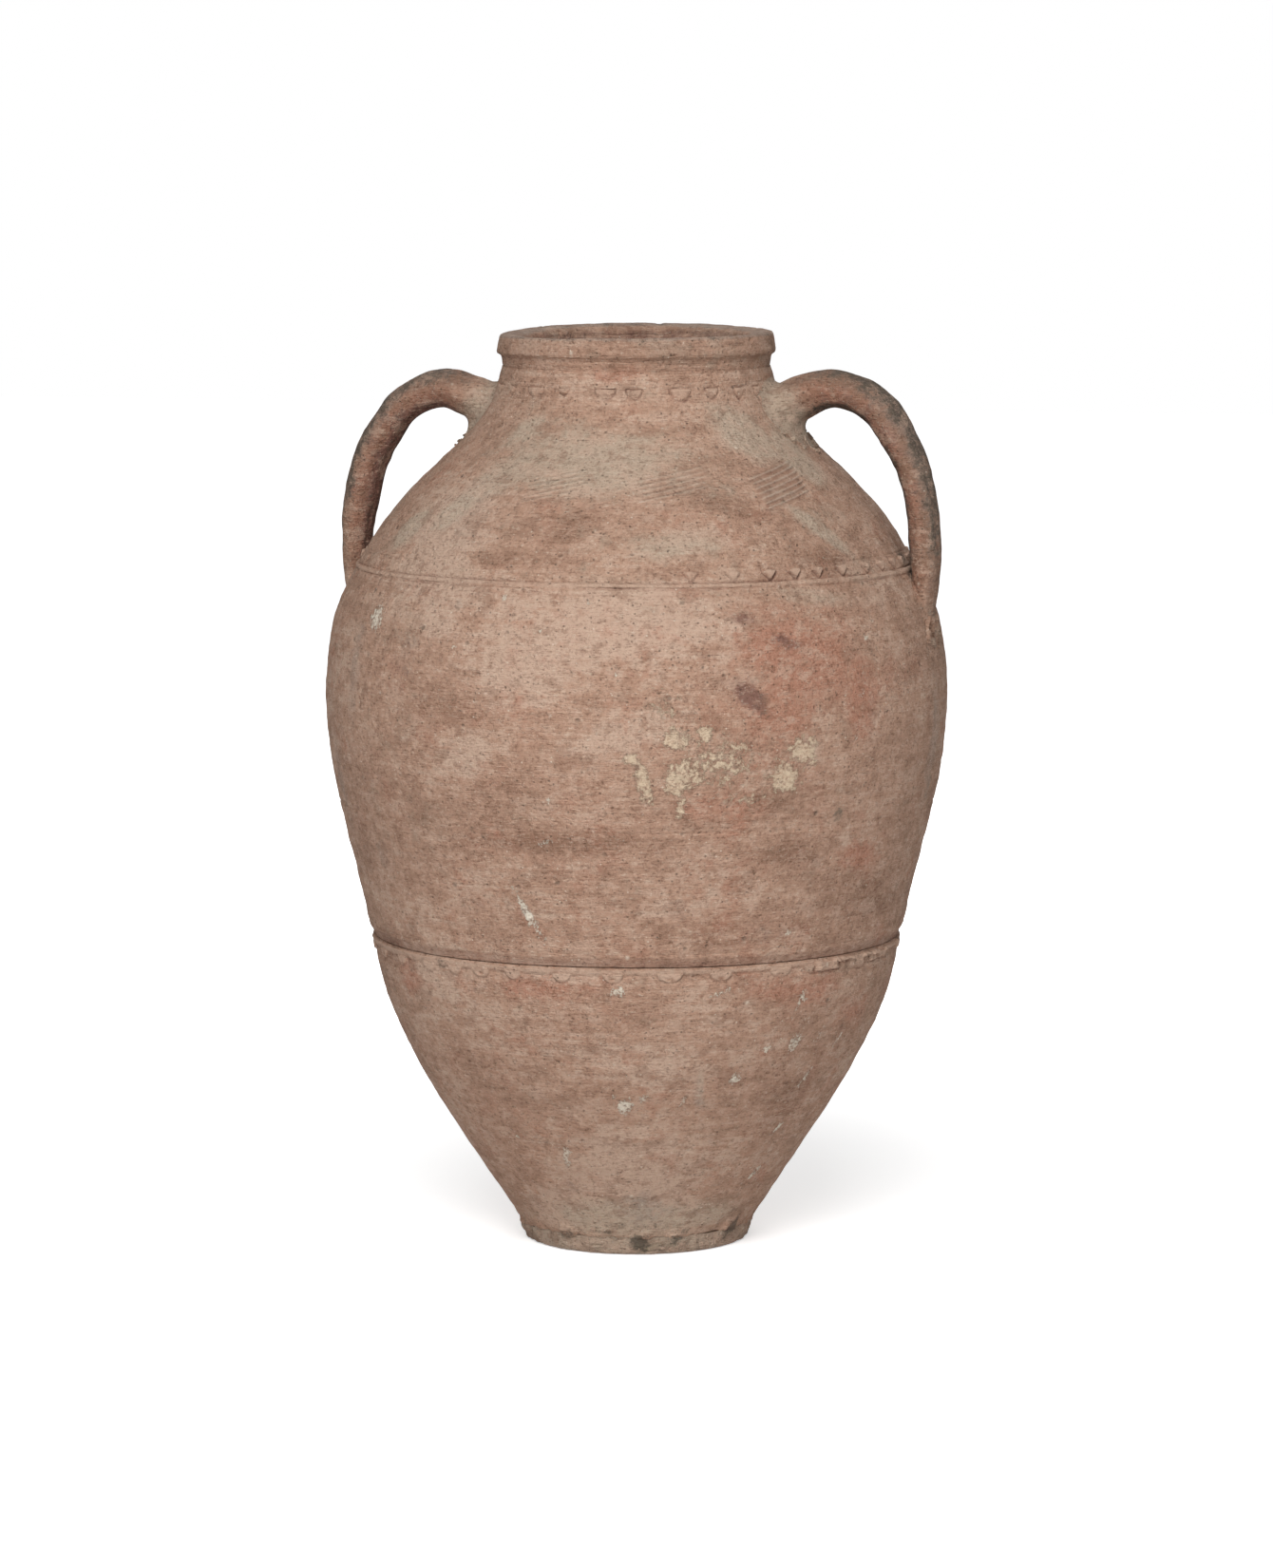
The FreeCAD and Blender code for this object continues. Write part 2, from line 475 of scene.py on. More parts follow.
BASE = Outline(["base_cone"], FOOT_TOP, LOWER_SEAM)
BODY = Outline(
    ["lower_belly_course", "upper_belly_course", "shoulder_dome", "neck_collar"], LOWER_SEAM, LIP_FOOT
)


# ---------------------------------------------------------------- places on the wall


def smoothstep(low, high, x):
    t = np.clip((x - low) / (high - low), 0, 1)
    return t * t * (3 - 2 * t)


def hump(x, width):
    """1 where x is 0, falling away on both sides over about the width."""
    return np.exp(-((x / width) ** 2))


class Places:
    """Angle, height and radius of every point of a piece, in degrees and millimetres."""

    def __init__(self, piece):
        x, y, z = (points_of(piece) / MM).T
        self.angle = np.degrees(np.arctan2(y, x))
        self.height = z
        self.radius = np.hypot(x, y)

    def along(self, angle):
        """Distance round the jar from an angle, positive to the right as the wall is faced."""
        return np.radians((self.angle - angle + 180) % 360 - 180) * self.radius

    def blot(self, angle, height, wide, tall, tilt=0.0, soft=1.0):
        """An oval patch: 1 in its middle and 0 at its edge. tilt turns it, rising to the right."""
        across, up = self.along(angle), self.height - height
        turn = math.radians(tilt)
        u = (across * math.cos(turn) + up * math.sin(turn)) / (wide / 2)
        v = (up * math.cos(turn) - across * math.sin(turn)) / (tall / 2)
        return 1 - smoothstep(1 - soft, 1, np.hypot(u, v))


def wander(angle, seed, amount, waves=(3, 7, 16, 37)):
    """A level line's unevenness: a few waves of different lengths round the jar."""
    draw = np.random.default_rng(seed)
    total = np.zeros_like(angle, dtype=float)
    for wave in waves:
        total += np.sin(np.radians(angle) * wave + draw.uniform(0, math.tau)) / math.sqrt(wave)
    return amount * total


# ---------------------------------------------------------------- turned walls


def weather_skin(piece):
    """The unevenness that every outside shares, by place, so that neighbouring pieces still meet."""
    sizes = shape()
    displace(piece, sizes.wobble, cloudy("broad wobble", 0.16, 1))
    ripples = guide_empty("ripple guide", (0.35, 0.35, 0.03))
    displace(piece, sizes.ripple, cloudy("throwing ripples", 0.5, 2), guide=ripples)
    bpy.data.objects.remove(ripples)
    displace(piece, sizes.roughness, cloudy("weathered skin", 0.011, 2))


def levels(bottom, top, gap, fine_low=0.0, fine_high=0.0, fine_gap=1.3 * MM):
    """Heights of a wall's rings, closer together over the fine stretch at each end."""
    low, high = bottom + fine_low, top - fine_high
    heights = [bottom]
    for start, end, step in ((bottom, low, fine_gap), (low, high, gap), (high, top, fine_gap)):
        if end > start:
            heights += list(np.linspace(start, end, max(1, round((end - start) / step)) + 1)[1:])
    return heights


def outside_skin(name, outline, heights, facets):
    """An open outside, turned at the outline's radii."""
    return turned(name, [(outline(height), height) for height in heights], facets, closed=False)


def inside_line(outline, bottom, top):
    """The inside's outline from top to bottom: the outside moved in by the wall's thickness."""
    wall = shape().wall
    line = []
    for height in np.linspace(top, bottom, max(3, round((top - bottom) / (12 * MM)))):
        slope = (outline(min(height + MM, top)) - outline(max(height - MM, bottom))) / (2 * MM)
        line.append((outline(height) - wall * math.hypot(1, slope), height))
    return line


# Level lines scored by the potter's rib, in millimetres and degrees: height, depth, and where they fade out.
DEEPEST_KNOCK = 1.5
RIB_LINES = [(399, 0.5, -62, 20), (366.6, 0.7, -180, 180), (431, 0.35, -140, -60), (205, 0.4, -120, 10)]
# Knocks and hollows: angle, height, width, tallness in millimetres, depth, tilt.
KNOCKS = [
    (-104, 465, 6, 5, 1.3, 0), (-106, 446, 7, 10, 0.8, 20), (-55, 476, 34, 14, 0.8, -35),
    (-27, 503, 9, 8, 1, 0), (-35, 376, 12, 9, 0.9, 0), (-73, 560, 18, 10, 0.5, 10),
    (-62, 152, 60, 34, 0.9, 0), (-98, 120, 70, 30, 1, 40), (-30, 170, 60, 26, 0.9, -50),
    (-124, 500, 30, 60, 1.2, 0), (-88, 330, 80, 26, 0.7, 5), (30, 420, 80, 40, 1.4, 15),
    (75, 300, 90, 30, 1, -10), (120, 480, 70, 40, 1.2, 20), (160, 330, 80, 30, 1, 0),
    (100, 150, 60, 40, 1.1, 30), (20, 110, 50, 30, 1, -30), (-70, 640, 50, 12, 0.5, 8),
    (140, 630, 70, 24, 0.8, -12), (70, 620, 60, 20, 0.7, 10),
]


def score_and_knock(piece):
    """Rib lines and old knocks in a wall, each a soft hollow."""
    place = Places(piece)
    hollow = np.zeros(len(place.height))
    for height, depth, start, end in RIB_LINES:
        line = height + wander(place.angle, int(height), 0.5)
        groove = hump(place.height - line, 1.3)
        within = smoothstep(start - 15, start + 15, place.angle)
        within = within * (1 - smoothstep(end - 15, end + 15, place.angle))
        hollow = np.maximum(hollow, groove * (1 if end - start == 360 else within) * depth)
    for angle, height, wide, tall, depth, tilt in KNOCKS:
        hollow = np.maximum(hollow, place.blot(angle, height, wide, tall, tilt) * depth)
    press(piece, "knocks", hollow / DEEPEST_KNOCK, -DEEPEST_KNOCK * MM)


# The foot's worn side from the floor up: how far inside the slab's edge, and height, in millimetres.
FOOT_SIDE = [(8, 0), (6.4, 0.3), (4.4, 1.2), (3.0, 2.8), (2.3, 5), (1.7, 8), (0.8, 11), (0, 14)]


class AMPHORA_OT_foot(bpy.types.Operator):
    """Turn the foot slab, with its worn edge, crusts and crack"""

    bl_idname = "amphora.foot"
    bl_label = "Foot slab"

    def execute(self, context):
        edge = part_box("foot_slab")[1][0]
        side = [(edge - inset * MM, height * MM) for inset, height in FOOT_SIDE]
        under = [(radius, 0) for radius in np.arange(0, edge - 9 * MM, 6 * MM)]
        outline = under + refined(side, 1.4 * MM) + [(edge + 0.4 * MM, FOOT_TOP)]
        outline += [(radius, FOOT_TOP) for radius in np.arange(edge - 4 * MM, 0, -8 * MM)] + [(0, FOOT_TOP)]
        foot = turned("worn_foot", outline, shape().facets, closed=False)
        place = Places(foot)
        rim = smoothstep(78, 86, place.radius) * smoothstep(0.05, 2.0, place.height)
        rough = weigh(foot, "edge", rim)
        displace(foot, 4.4 * MM, cloudy("crumbled edge", 0.010, 3), group=rough)
        displace(foot, 3.0 * MM, cloudy("broad wobble", 0.16, 1), group=rough)
        press(foot, "crusts", foot_crusts(place) * rim, 2.2 * MM)
        crack = 15.0 + wander(place.angle, 5, 0.8, (5, 13, 29, 61))
        broken = np.clip(0.6 + wander(place.angle, 6, 0.5, (7, 17, 31)), 0, 1)
        press(foot, "crack", hump(place.height - crack, 1.0) * rim * broken, -1.6 * MM)
        finish_piece(foot, "foot_slab", "foot_clay")
        return {"FINISHED"}


# Crusts of lime and earth round the foot: angle, height, width, tallness.
CRUSTS = [
    (-73, 12, 26, 22), (-54, 14, 27, 20), (-23, 17, 24, 24), (-110, 19, 22, 12), (-62, 8, 16, 8),
    (-95, 9, 30, 9), (-5, 12, 24, 14), (25, 14, 30, 16), (66, 10, 22, 14), (104, 15, 26, 12),
    (150, 12, 34, 16), (-150, 13, 28, 14),
]


def foot_crusts(place):
    """Raised crusts with sunken middles."""
    raised = np.zeros(len(place.height))
    for angle, height, wide, tall in CRUSTS:
        whole = place.blot(angle, height, wide, tall, soft=0.5)
        middle = place.blot(angle, height, wide * 0.55, tall * 0.5)
        raised = np.maximum(raised, whole - 0.55 * middle)
    return raised


def refined(outline, gap):
    """The outline with points added so that none are further apart than the gap."""
    line = [outline[0]]
    for (r0, z0), (r1, z1) in zip(outline, outline[1:]):
        count = max(1, math.ceil(math.hypot(r1 - r0, z1 - z0) / gap))
        line += [(r0 + (r1 - r0) * i / count, z0 + (z1 - z0) * i / count) for i in range(1, count + 1)]
    return line


class AMPHORA_OT_courses(bpy.types.Operator):
    """Turn the five thrown courses of the wall, from the base to the neck"""

    bl_idname = "amphora.courses"
    bl_label = "Thrown courses"

    def execute(self, context):
        facets, gap = shape().facets, shape().ring_gap
        heights_of = {
            "base_cone": levels(FOOT_TOP, LOWER_SEAM, gap, 9 * MM, 18 * MM),
            "lower_belly_course": levels(LOWER_SEAM, BELLY_SEAM, gap, 12 * MM, 3 * MM),
            "upper_belly_course": levels(BELLY_SEAM, SHOULDER_SEAM, gap, 3 * MM, 8 * MM),
            "shoulder_dome": levels(SHOULDER_SEAM, NECK_SEAM, gap, 19 * MM, 18 * MM),
            "neck_collar": levels(NECK_SEAM, LIP_FOOT, 0, fine_low=LIP_FOOT - NECK_SEAM),
        }
        courses = [
            ("thrown_base", "base_cone", "wall_clay", BASE),
            ("thrown_lower_belly", "lower_belly_course", "wall_clay", BODY),
            ("thrown_upper_belly", "upper_belly_course", "wall_clay", BODY),
            ("thrown_shoulder", "shoulder_dome", "shoulder_clay", BODY),
            ("thrown_neck", "neck_collar", "shoulder_clay", BODY),
        ]
        for name, node, slot, outline in courses:
            heights = heights_of[node]
            wall = outside_skin(name, outline, heights, facets)
            if node == "lower_belly_course":
                turn_edge_under(wall)
            if node == "base_cone":
                crumble_base(wall)
            weather_skin(wall)
            score_and_knock(wall)
            sink_under_bands(wall)
            close_wall(wall, inside_line(outline, heights[0], heights[-1]))
            finish_piece(wall, node, slot)
        return {"FINISHED"}


# How thick a band is, and how deep the wall is pared back under it.
BAND_THICKNESS = 2.5 * MM
PARED_UNDER_BANDS = 3.5 * MM
# The stretch of wall that each luting band covers.
LOWER_BAND = (LOWER_SEAM - 17 * MM, LOWER_SEAM - 0.4 * MM)
SHOULDER_BAND = (SHOULDER_SEAM - 6 * MM, SHOULDER_SEAM + 17 * MM)
NECK_BAND = (NECK_SEAM - 16 * MM, NECK_SEAM + 6 * MM)


def sink_under_bands(wall):
    """Pares the wall back where a band lies, so that marks pressed into the band stay open."""
    place = Places(wall)
    depth = np.zeros(len(place.height))
    for bottom, top in (LOWER_BAND, SHOULDER_BAND, NECK_BAND):
        covered = smoothstep(bottom / MM + 1.3, bottom / MM + 3.2, place.height)
        if bottom == LOWER_BAND[0]:
            # The base is pared right up to its top edge, and the belly above it is left alone.
            covered = covered * (place.height < LOWER_SEAM / MM + 0.01)
        else:
            covered = covered * (1 - smoothstep(top / MM - 3.2, top / MM - 1.3, place.height))
        depth = np.maximum(depth, covered)
    press(wall, "under bands", depth, -PARED_UNDER_BANDS)


def turn_edge_under(wall):
    """The belly's lower edge, pared back to the base with two tool lines above it."""
    place = Places(wall)
    rise = place.height - LOWER_SEAM / MM - wander(place.angle, 11, 0.7)
    pared = 1 - smoothstep(0.0, 10.5, rise)
    lines = 0.8 * hump(rise - 10.8, 0.9) + 0.45 * hump(rise - 5.6, 0.8)
    press(wall, "pared edge", (pared * 3.2 + lines) / 4.4, -4.4 * MM)
    # Painted shade in the pared hollow over the lower band, darkest at the seam.
    paint(wall, "groove", 0.75 * (1 - smoothstep(1.5, 10.0, rise)))


def crumble_base(wall):
    """Crumbled clay and crusts where the base meets the foot."""
    place = Places(wall)
    near_foot = 1 - smoothstep(FOOT_TOP / MM, FOOT_TOP / MM + 20, place.height)
    displace(wall, 4.0 * MM, cloudy("crumbled edge", 0.010, 3), group=weigh(wall, "near foot", near_foot))
    press(wall, "crusts", foot_crusts(place), 2.2 * MM)


class AMPHORA_OT_lip(bpy.types.Operator):
    """Turn the banded lip, tilted and chipped by use"""

    bl_idname = "amphora.lip"
    bl_label = "Lip"

    def execute(self, context):
        outline = [(radius * MM, height * MM) for radius, height in LIP_OUTLINE]
        lip = turned("banded_lip", refined(outline, 1.3 * MM), shape().facets, closed=True)
        place = Places(lip)
        upper = smoothstep(727, 739, place.height)
        displace(lip, shape().wobble, cloudy("broad wobble", 0.16, 1))
        dips = 0.5 - 0.5 * np.cos(np.radians(place.angle + 20))
        press_down(lip, "tilt", upper * dips, 1.8 * MM)
        press_down(lip, "far side", upper * np.clip(np.cos(np.radians(place.angle - 98)), 0, 1), -4.8 * MM)
        press_down(lip, "waves", upper * (0.5 + wander(place.angle, 21, 0.3, (2, 3, 5, 9))), 1.1 * MM)
        displace(lip, 0.9 * MM, cloudy("weathered skin", 0.011, 2))
        press(lip, "chips", lip_chips(place), -2.2 * MM)
        finish_piece(lip, "rim_coil", "lip_clay")
        crown = smoothstep(746, 749, place.height)
        paint(lip, "soot", 0.50 * crown * (0.7 + wander(place.angle, 22, 0.5)) + 0.35 * lip_chips(place))
        paint(lip, "mauve", 0.5 * (1 - smoothstep(89, 93, place.radius)))
        paint(lip, "grey", 0.8 * crown)
        return {"FINISHED"}


# The lip's outline as (radius, height) in millimetres, from under its band over the crown to the throat.
LIP_OUTLINE = [
    (107.5, 720.5), (109.2, 721.2), (109.9, 723.5), (110.2, 726.5), (110.6, 729.4), (111.2, 731.4),
    (112.6, 732.6), (114, 733.8), (114.4, 736), (114.1, 738.6), (113.5, 742), (112.9, 745.6), (112.4, 748),
    (111.5, 749.5), (110, 750), (105, 749.8), (99, 749.2), (94, 748.4), (91, 746.6), (89.4, 743.5),
    (89, 739), (89, 733), (89.6, 728), (92, 724.5), (96.5, 722),
]
# Chips off the lip's edge: angle, height, width, tallness.
CHIPS = [
    (-80, 748, 7, 5), (-72, 748, 9, 4), (-67, 748, 5, 5), (-95, 748, 6, 4), (-47, 747, 8, 4),
    (-120, 747, 6, 5), (-88, 735, 9, 3), (-60, 735, 7, 3), (-20, 746, 9, 5), (40, 748, 10, 5),
    (95, 748, 12, 6), (150, 748, 9, 5),
]


def lip_chips(place):
    bites = np.zeros(len(place.height))
    for angle, height, wide, tall in CHIPS:
        bites = np.maximum(bites, place.blot(angle, height, wide, tall, soft=0.8) * (place.radius > 104))
    return bites


def press_down(piece, name, weights, depth):
    """Lowers a piece by depth where its weights are 1."""
    displace(piece, -depth, group=weigh(piece, name, weights), middle=0, direction="Z")


# ---------------------------------------------------------------- luting bands


class AMPHORA_OT_bands(bpy.types.Operator):
    """Press the three luting bands over the joints, with the marks of thumb and tool"""

    bl_idname = "amphora.bands"
    bl_label = "Luting bands"

    def execute(self, context):
        bands = [
            ("lower_luting", "lower_seam_coil", BASE, LOWER_BAND, 0.9, lower_relief),
            ("shoulder_luting", "shoulder_seam_coil", BODY, SHOULDER_BAND, 0.9, shoulder_relief),
            ("neck_luting", "neck_seam_coil", BODY, NECK_BAND, 0.75, neck_relief),
        ]
        for name, node, outline, (bottom, top), gap, relief in bands:
            heights = np.linspace(bottom, top, round((top - bottom) / (gap * MM)) + 1)
            band = outside_skin(name, outline, heights, BAND_FACETS)
            raised = relief(Places(band))
            weather_skin(band)
            press(band, "raised", np.clip(raised, 0, None) / RELIEF_SPAN, RELIEF_SPAN * MM)
            press(band, "pressed in", np.clip(-raised, 0, None) / RELIEF_SPAN, -RELIEF_SPAN * MM)
            # Painted shade in the pressed-in marks; on the raised relief a pale colour that is partly wear
            # and partly painted highlight.
            paint(band, "groove", np.clip(-raised - 0.25, 0, 1.2) / 1.2)
            paint(band, "worn", np.clip(raised - 0.25, 0, 1.4) / 1.4)
            thicken(band, BAND_THICKNESS)
            finish_piece(band, node, "seam_clay")
        return {"FINISHED"}


BAND_FACETS = 1536
# Height of relief, in millimetres, that a full weight stands for.
RELIEF_SPAN = 6.0


def feathered(raised, height, bottom, top, feather=2.2):
    """Relief that runs out just under the wall at the band's edges."""
    inside = smoothstep(bottom / MM, bottom / MM + feather, height)
    inside = inside * (1 - smoothstep(top / MM - feather, top / MM, height))
    return raised * inside - (1 - inside) * 0.6


# Tabs where a thumb drew the lower coil down: angle, and the tab's width in millimetres.
TABS = [
    (-125, 15), (-117, 13), (-110, 16), (-102, 14), (-91, 15), (-80, 16), (-68, 20), (-57, 18), (-43, 20),
    (-34, 22), (-8, 16), (6, 18), (20, 15), (33, 20), (47, 15), (62, 18), (76, 16), (90, 14), (103, 18),
    (118, 16), (131, 15), (145, 18), (159, 14), (172, 16), (-173, 18), (-160, 15), (-147, 16), (-136, 14),
]


# Blocks of clay left standing where the lower coil has broken: angle, width, height.
BLOCKS = [(-30, 27, 8), (-20, 24, 11), (-13, 10, 8), (64, 22, 9), (71, 15, 8), (158, 18, 10)]


def lower_relief(place):
    """A coil with a sharp upper edge, and tabs along its lower edge, in millimetres above the wall."""
    seam = LOWER_SEAM / MM
    lean = 1.2 * np.sin(np.radians(place.angle + 75))
    bottom = seam - 6.4 + lean + wander(place.angle, 31, 0.35, (9, 23, 51))
    dent, tab = np.zeros(len(bottom)), np.zeros(len(bottom))
    for angle, wide in TABS:
        across = place.along(angle) / (wide / 2)
        tab = np.maximum(tab, np.sqrt(np.clip(1 - across**2, 0, 1)))
        dent = np.maximum(dent, place.blot(angle, seam - 9.6, wide * 0.5, 4.5, soft=0.9) * (wide > 15))
    top = seam - 1.0 + wander(place.angle, 32, 0.3, (11, 29, 60))
    ridge = smoothstep(0, 1.5, place.height - bottom) * smoothstep(0, 1.1, top - place.height)
    hang = place.height - bottom + 6.0 * tab
    tabs = smoothstep(0, 1.4, hang) * smoothstep(0, 1.0, bottom + 1.5 - place.height) * (tab > 0)
    thin = 0.9 + 1.5 * np.clip((place.height - bottom) / 6.5, 0, 1) ** 2
    thick = thin * (1 + wander(place.angle, 33, 0.22, (8, 19, 44, 90)))
    # On the right the coil was left thicker and has broken into blocks.
    broken = smoothstep(-36, -28, place.angle) * (1 - smoothstep(2, 10, place.angle))
    blocks = smoothstep(0.35, 0.6, np.sin(np.radians(place.angle) * 34 + 0.6))
    raised = ridge * thick + tabs * (1.6 - 1.7 * dent) + ridge * broken * (2.0 - 3.0 * blocks)
    for angle, wide, tall in BLOCKS:
        across, up = np.abs(place.along(angle)) / (wide / 2), np.abs(place.height - seam + 6.8) / (tall / 2)
        rough = wander(place.angle * 1.7 + place.height * 9, int(angle) + 300, 0.10, (9, 23, 41, 67))
        slab = (1 - smoothstep(0.70, 1.05, across + rough)) * (1 - smoothstep(0.65, 1.05, up + rough))
        rim = hump(np.maximum(across, up * 0.9) + rough - 1.12, 0.10)
        raised = raised + slab * (1.2 + 0.8 * across + 2.0 * rough) - 1.2 * rim
    under = hump(hang + 0.8, 0.9)
    return feathered(raised - 0.5 * under, place.height, *LOWER_BAND)


# Nail marks over the shoulder's strip: angle, and how strong.
NAILS = [
    (-64, 0.5), (-55, 0.4), (-47, 1), (-41, 1), (-35, 1), (-28, 1), (-20, 1), (-14, 0.9), (-8, 1),
    (-2, 0.8), (5, 0.9), (12, 0.8), (22, 1), (31, 1), (44, 0.8), (52, 1), (58, 1), (71, 0.6), (85, 1),
    (92, 0.8), (99, 1), (113, 0.9), (120, 0.7), (126, 1), (140, 1), (148, 0.8), (156, 1), (166, 1),
    (174, 0.7), (-174, 0.9), (-166, 0.8), (-152, 0.5),
]


def shoulder_relief(place):
    """A flat strip between two scored lines, with nail marks above it."""
    seam = SHOULDER_SEAM / MM
    low = seam - 0.2 + wander(place.angle, 41, 0.30, (4, 11, 27))
    high = seam + 4.6 + wander(place.angle, 42, 0.35, (5, 13, 31))
    strip = smoothstep(0, 1.2, place.height - low) * smoothstep(0, 1.2, high - place.height)
    upper = hump(place.height - high, 0.8) * (0.55 + wander(place.angle, 44, 0.5, (6, 14, 33)))
    lower = hump(place.height - low, 0.8) * (0.55 + wander(place.angle, 43, 0.5, (7, 17, 41)))
    raised = 1.0 * strip - 1.7 * np.clip(upper, 0, None) - 1.5 * np.clip(lower, 0, None)
    for angle, strong in NAILS:
        across = np.abs(place.along(angle))
        up = place.height - (seam + 5.8)
        inside = smoothstep(-0.5, 0.5, up * 0.95 - across)
        inside = inside * (1 - smoothstep(6.4, 7.6, up + 0.12 * across**1.5))
        cut = hump(up - 1.05 * across + 1.3, 1.1) * (across < 7.0) * (up < 7.5)
        raised = raised + strong * (inside * (0.8 + 0.34 * np.clip(up, 0, 6)) - 2.2 * cut)
    return feathered(raised, place.height, *SHOULDER_BAND)


# Half-moon marks round the neck's joint: angle, width, height.
MOONS = [
    (-121, 14, 8), (-106, 11, 5), (-88, 17, 8), (-76, 11, 8), (-57, 16, 10), (-43, 15, 8), (-29, 12, 9),
    (-17, 10, 8), (-4, 12, 8), (28, 15, 8), (44, 15, 9), (63, 12, 7), (80, 16, 9), (97, 13, 8),
    (115, 15, 9), (133, 12, 7), (152, 15, 8), (-152, 13, 8), (-137, 12, 7),
]


def neck_relief(place):
    """A smoothed joint with half-moon tool marks hanging from a level line."""
    seam = NECK_SEAM / MM
    line = seam + 1.0 + wander(place.angle, 51, 0.4, (5, 12, 26))
    groove = hump(place.height - line, 0.7)
    groove = groove * smoothstep(-0.2, 0.8, wander(place.angle, 52, 0.8, (6, 15)))
    marks = -0.9 * groove
    for angle, wide, tall in MOONS:
        across = place.along(angle) / (wide / 2)
        down = (line - place.height) / tall
        ragged = wander(place.angle, angle + 200, 0.07, (31, 57, 90))
        reach = np.hypot(across * (1 + 0.25 * math.sin(angle)), down) + ragged
        edge = hump(reach - 1, 0.13) * (down > -0.1) * (0.75 + 0.35 * np.sin(3 * across + angle))
        inside = (reach < 1) * (down > 0)
        marks = marks - 1.3 * edge + inside * (1.5 - 2.0 * down * reach)
        marks = marks - 1.0 * hump(place.height - line - 0.6, 0.6) * (np.abs(across) < 1)
    return feathered(marks, place.height, *NECK_BAND)


# ---------------------------------------------------------------- handles and their pads


# The middle of a handle from the neck to the shoulder, in millimetres: distance from the axis, height,
# thickness and width.
HANDLE_LINE = [
    (113, 685, 33, 46), (138, 697, 36, 48), (168, 705, 31, 43), (200, 692.5, 30, 41), (222, 663, 29, 40),
    (234, 635, 28, 39), (241, 600, 26.5, 38), (243.5, 565, 23.5, 37), (243.5, 530, 13, 35),
    (247, 498, 3, 26),
]
# Which side a handle stands on, and how far its maker set it out and up from that line.
HANDLES = {"right": (1, (0, 0)), "left": (-1, (-2.5, -4))}
PAD_THICKNESS = 3 * MM
PAD_EDGE_DEPTH = 0.8 * MM


class HandleLine:
    """The line that a handle is pulled along, with its size and lean at any distance from the neck."""

    def __init__(self, name):
        self.side, (out, up) = HANDLES[name]
        self.stations = (np.array(HANDLE_LINE) + (out, up, 0, 0)) * MM
        steps = np.hypot(*np.diff(self.stations[:, :2], axis=0).T)
        self.marks = np.concatenate([[0], np.cumsum(steps)])
        self.length = self.marks[-1]

    def at(self, distance):
        """Distance from the axis, height, thickness and width."""
        return [smooth_through(self.marks, column, distance) for column in self.stations.T]

    def lean(self, distance):
        """Angle of the line from straight up, towards the outside."""
        before, after = max(distance - MM, 0), min(distance + MM, self.length)
        (r0, z0), (r1, z1) = self.at(before)[:2], self.at(after)[:2]
        return math.atan2(r1 - r0, z1 - z0)

    def point(self, distance, turn):
        """A point on the handle's skin. A turn of 0 is its inner side, and of pi its outer side."""
        radius, height, thickness, width = self.at(distance)
        lean = self.lean(distance)
        inwards = math.cos(turn) * thickness / 2
        x = radius + inwards * math.cos(lean)
        return Vector((self.side * x, math.sin(turn) * width / 2, height - inwards * math.sin(lean)))


def pulled(name, line, facets=64, gap=4 * MM):
    """A handle drawn out ring by ring along its line."""
    bpy.ops.object.select_all(action="DESELECT")
    bpy.ops.mesh.primitive_circle_add(vertices=facets, radius=1, fill_type="NGON", location=(0, 0, 0))
    piece = bpy.context.object
    piece.name = name
    bpy.ops.object.mode_set(mode="EDIT")
    bpy.ops.mesh.select_all(action="SELECT")
    radius, height, thickness, width = line.at(0)
    place, lean = Vector((radius, 0, height)), line.lean(0)
    bpy.ops.transform.resize(value=(thickness / 2, width / 2, 1), center_override=(0, 0, 0))
    bpy.ops.transform.rotate(value=-lean, orient_axis="Y", center_override=(0, 0, 0))
    bpy.ops.transform.translate(value=place)
    for distance in np.linspace(0, line.length, round(line.length / gap) + 1)[1:]:
        radius, height, next_thickness, next_width = line.at(distance)
        next_place, next_lean = Vector((radius, 0, height)), line.lean(distance)
        bpy.ops.mesh.extrude_region_move(TRANSFORM_OT_translate={"value": next_place - place})
        bpy.ops.transform.rotate(value=lean, orient_axis="Y", center_override=next_place)
        shrink = (next_thickness / thickness, next_width / width, 1)
        bpy.ops.transform.resize(value=shrink, center_override=next_place)
        bpy.ops.transform.rotate(value=-next_lean, orient_axis="Y", center_override=next_place)
        place, lean, thickness, width = next_place, next_lean, next_thickness, next_width
    bpy.ops.mesh.select_all(action="SELECT")
    bpy.ops.transform.resize(value=(line.side, 1, 1), center_override=(0, 0, 0))
    bpy.ops.mesh.normals_make_consistent(inside=False)
    bpy.ops.object.mode_set(mode="OBJECT")
    smoothed(piece)
    return piece


class HandlePlaces:
    """For every point of a handle: its distance along the line in millimetres, and its turn round it."""

    def __init__(self, piece, line):
        points = points_of(piece)
        samples = np.linspace(0, line.length, 300)
        middles = np.array([line.at(distance)[:2] for distance in samples])
        leans = np.array([line.lean(distance) for distance in samples])
        out, up = points[:, 0] * line.side, points[:, 2]
        nearest = np.argmin((out[:, None] - middles[:, 0]) ** 2 + (up[:, None] - middles[:, 1]) ** 2, axis=1)
        out_by, up_by, leans = out - middles[nearest, 0], up - middles[nearest, 1], leans[nearest]
        inwards = out_by * np.cos(leans) - up_by * np.sin(leans)
        self.distance = samples[nearest] / MM
        self.turn = np.degrees(np.arctan2(points[:, 1], inwards))
        self.x, self.y, self.z = (points / MM).T


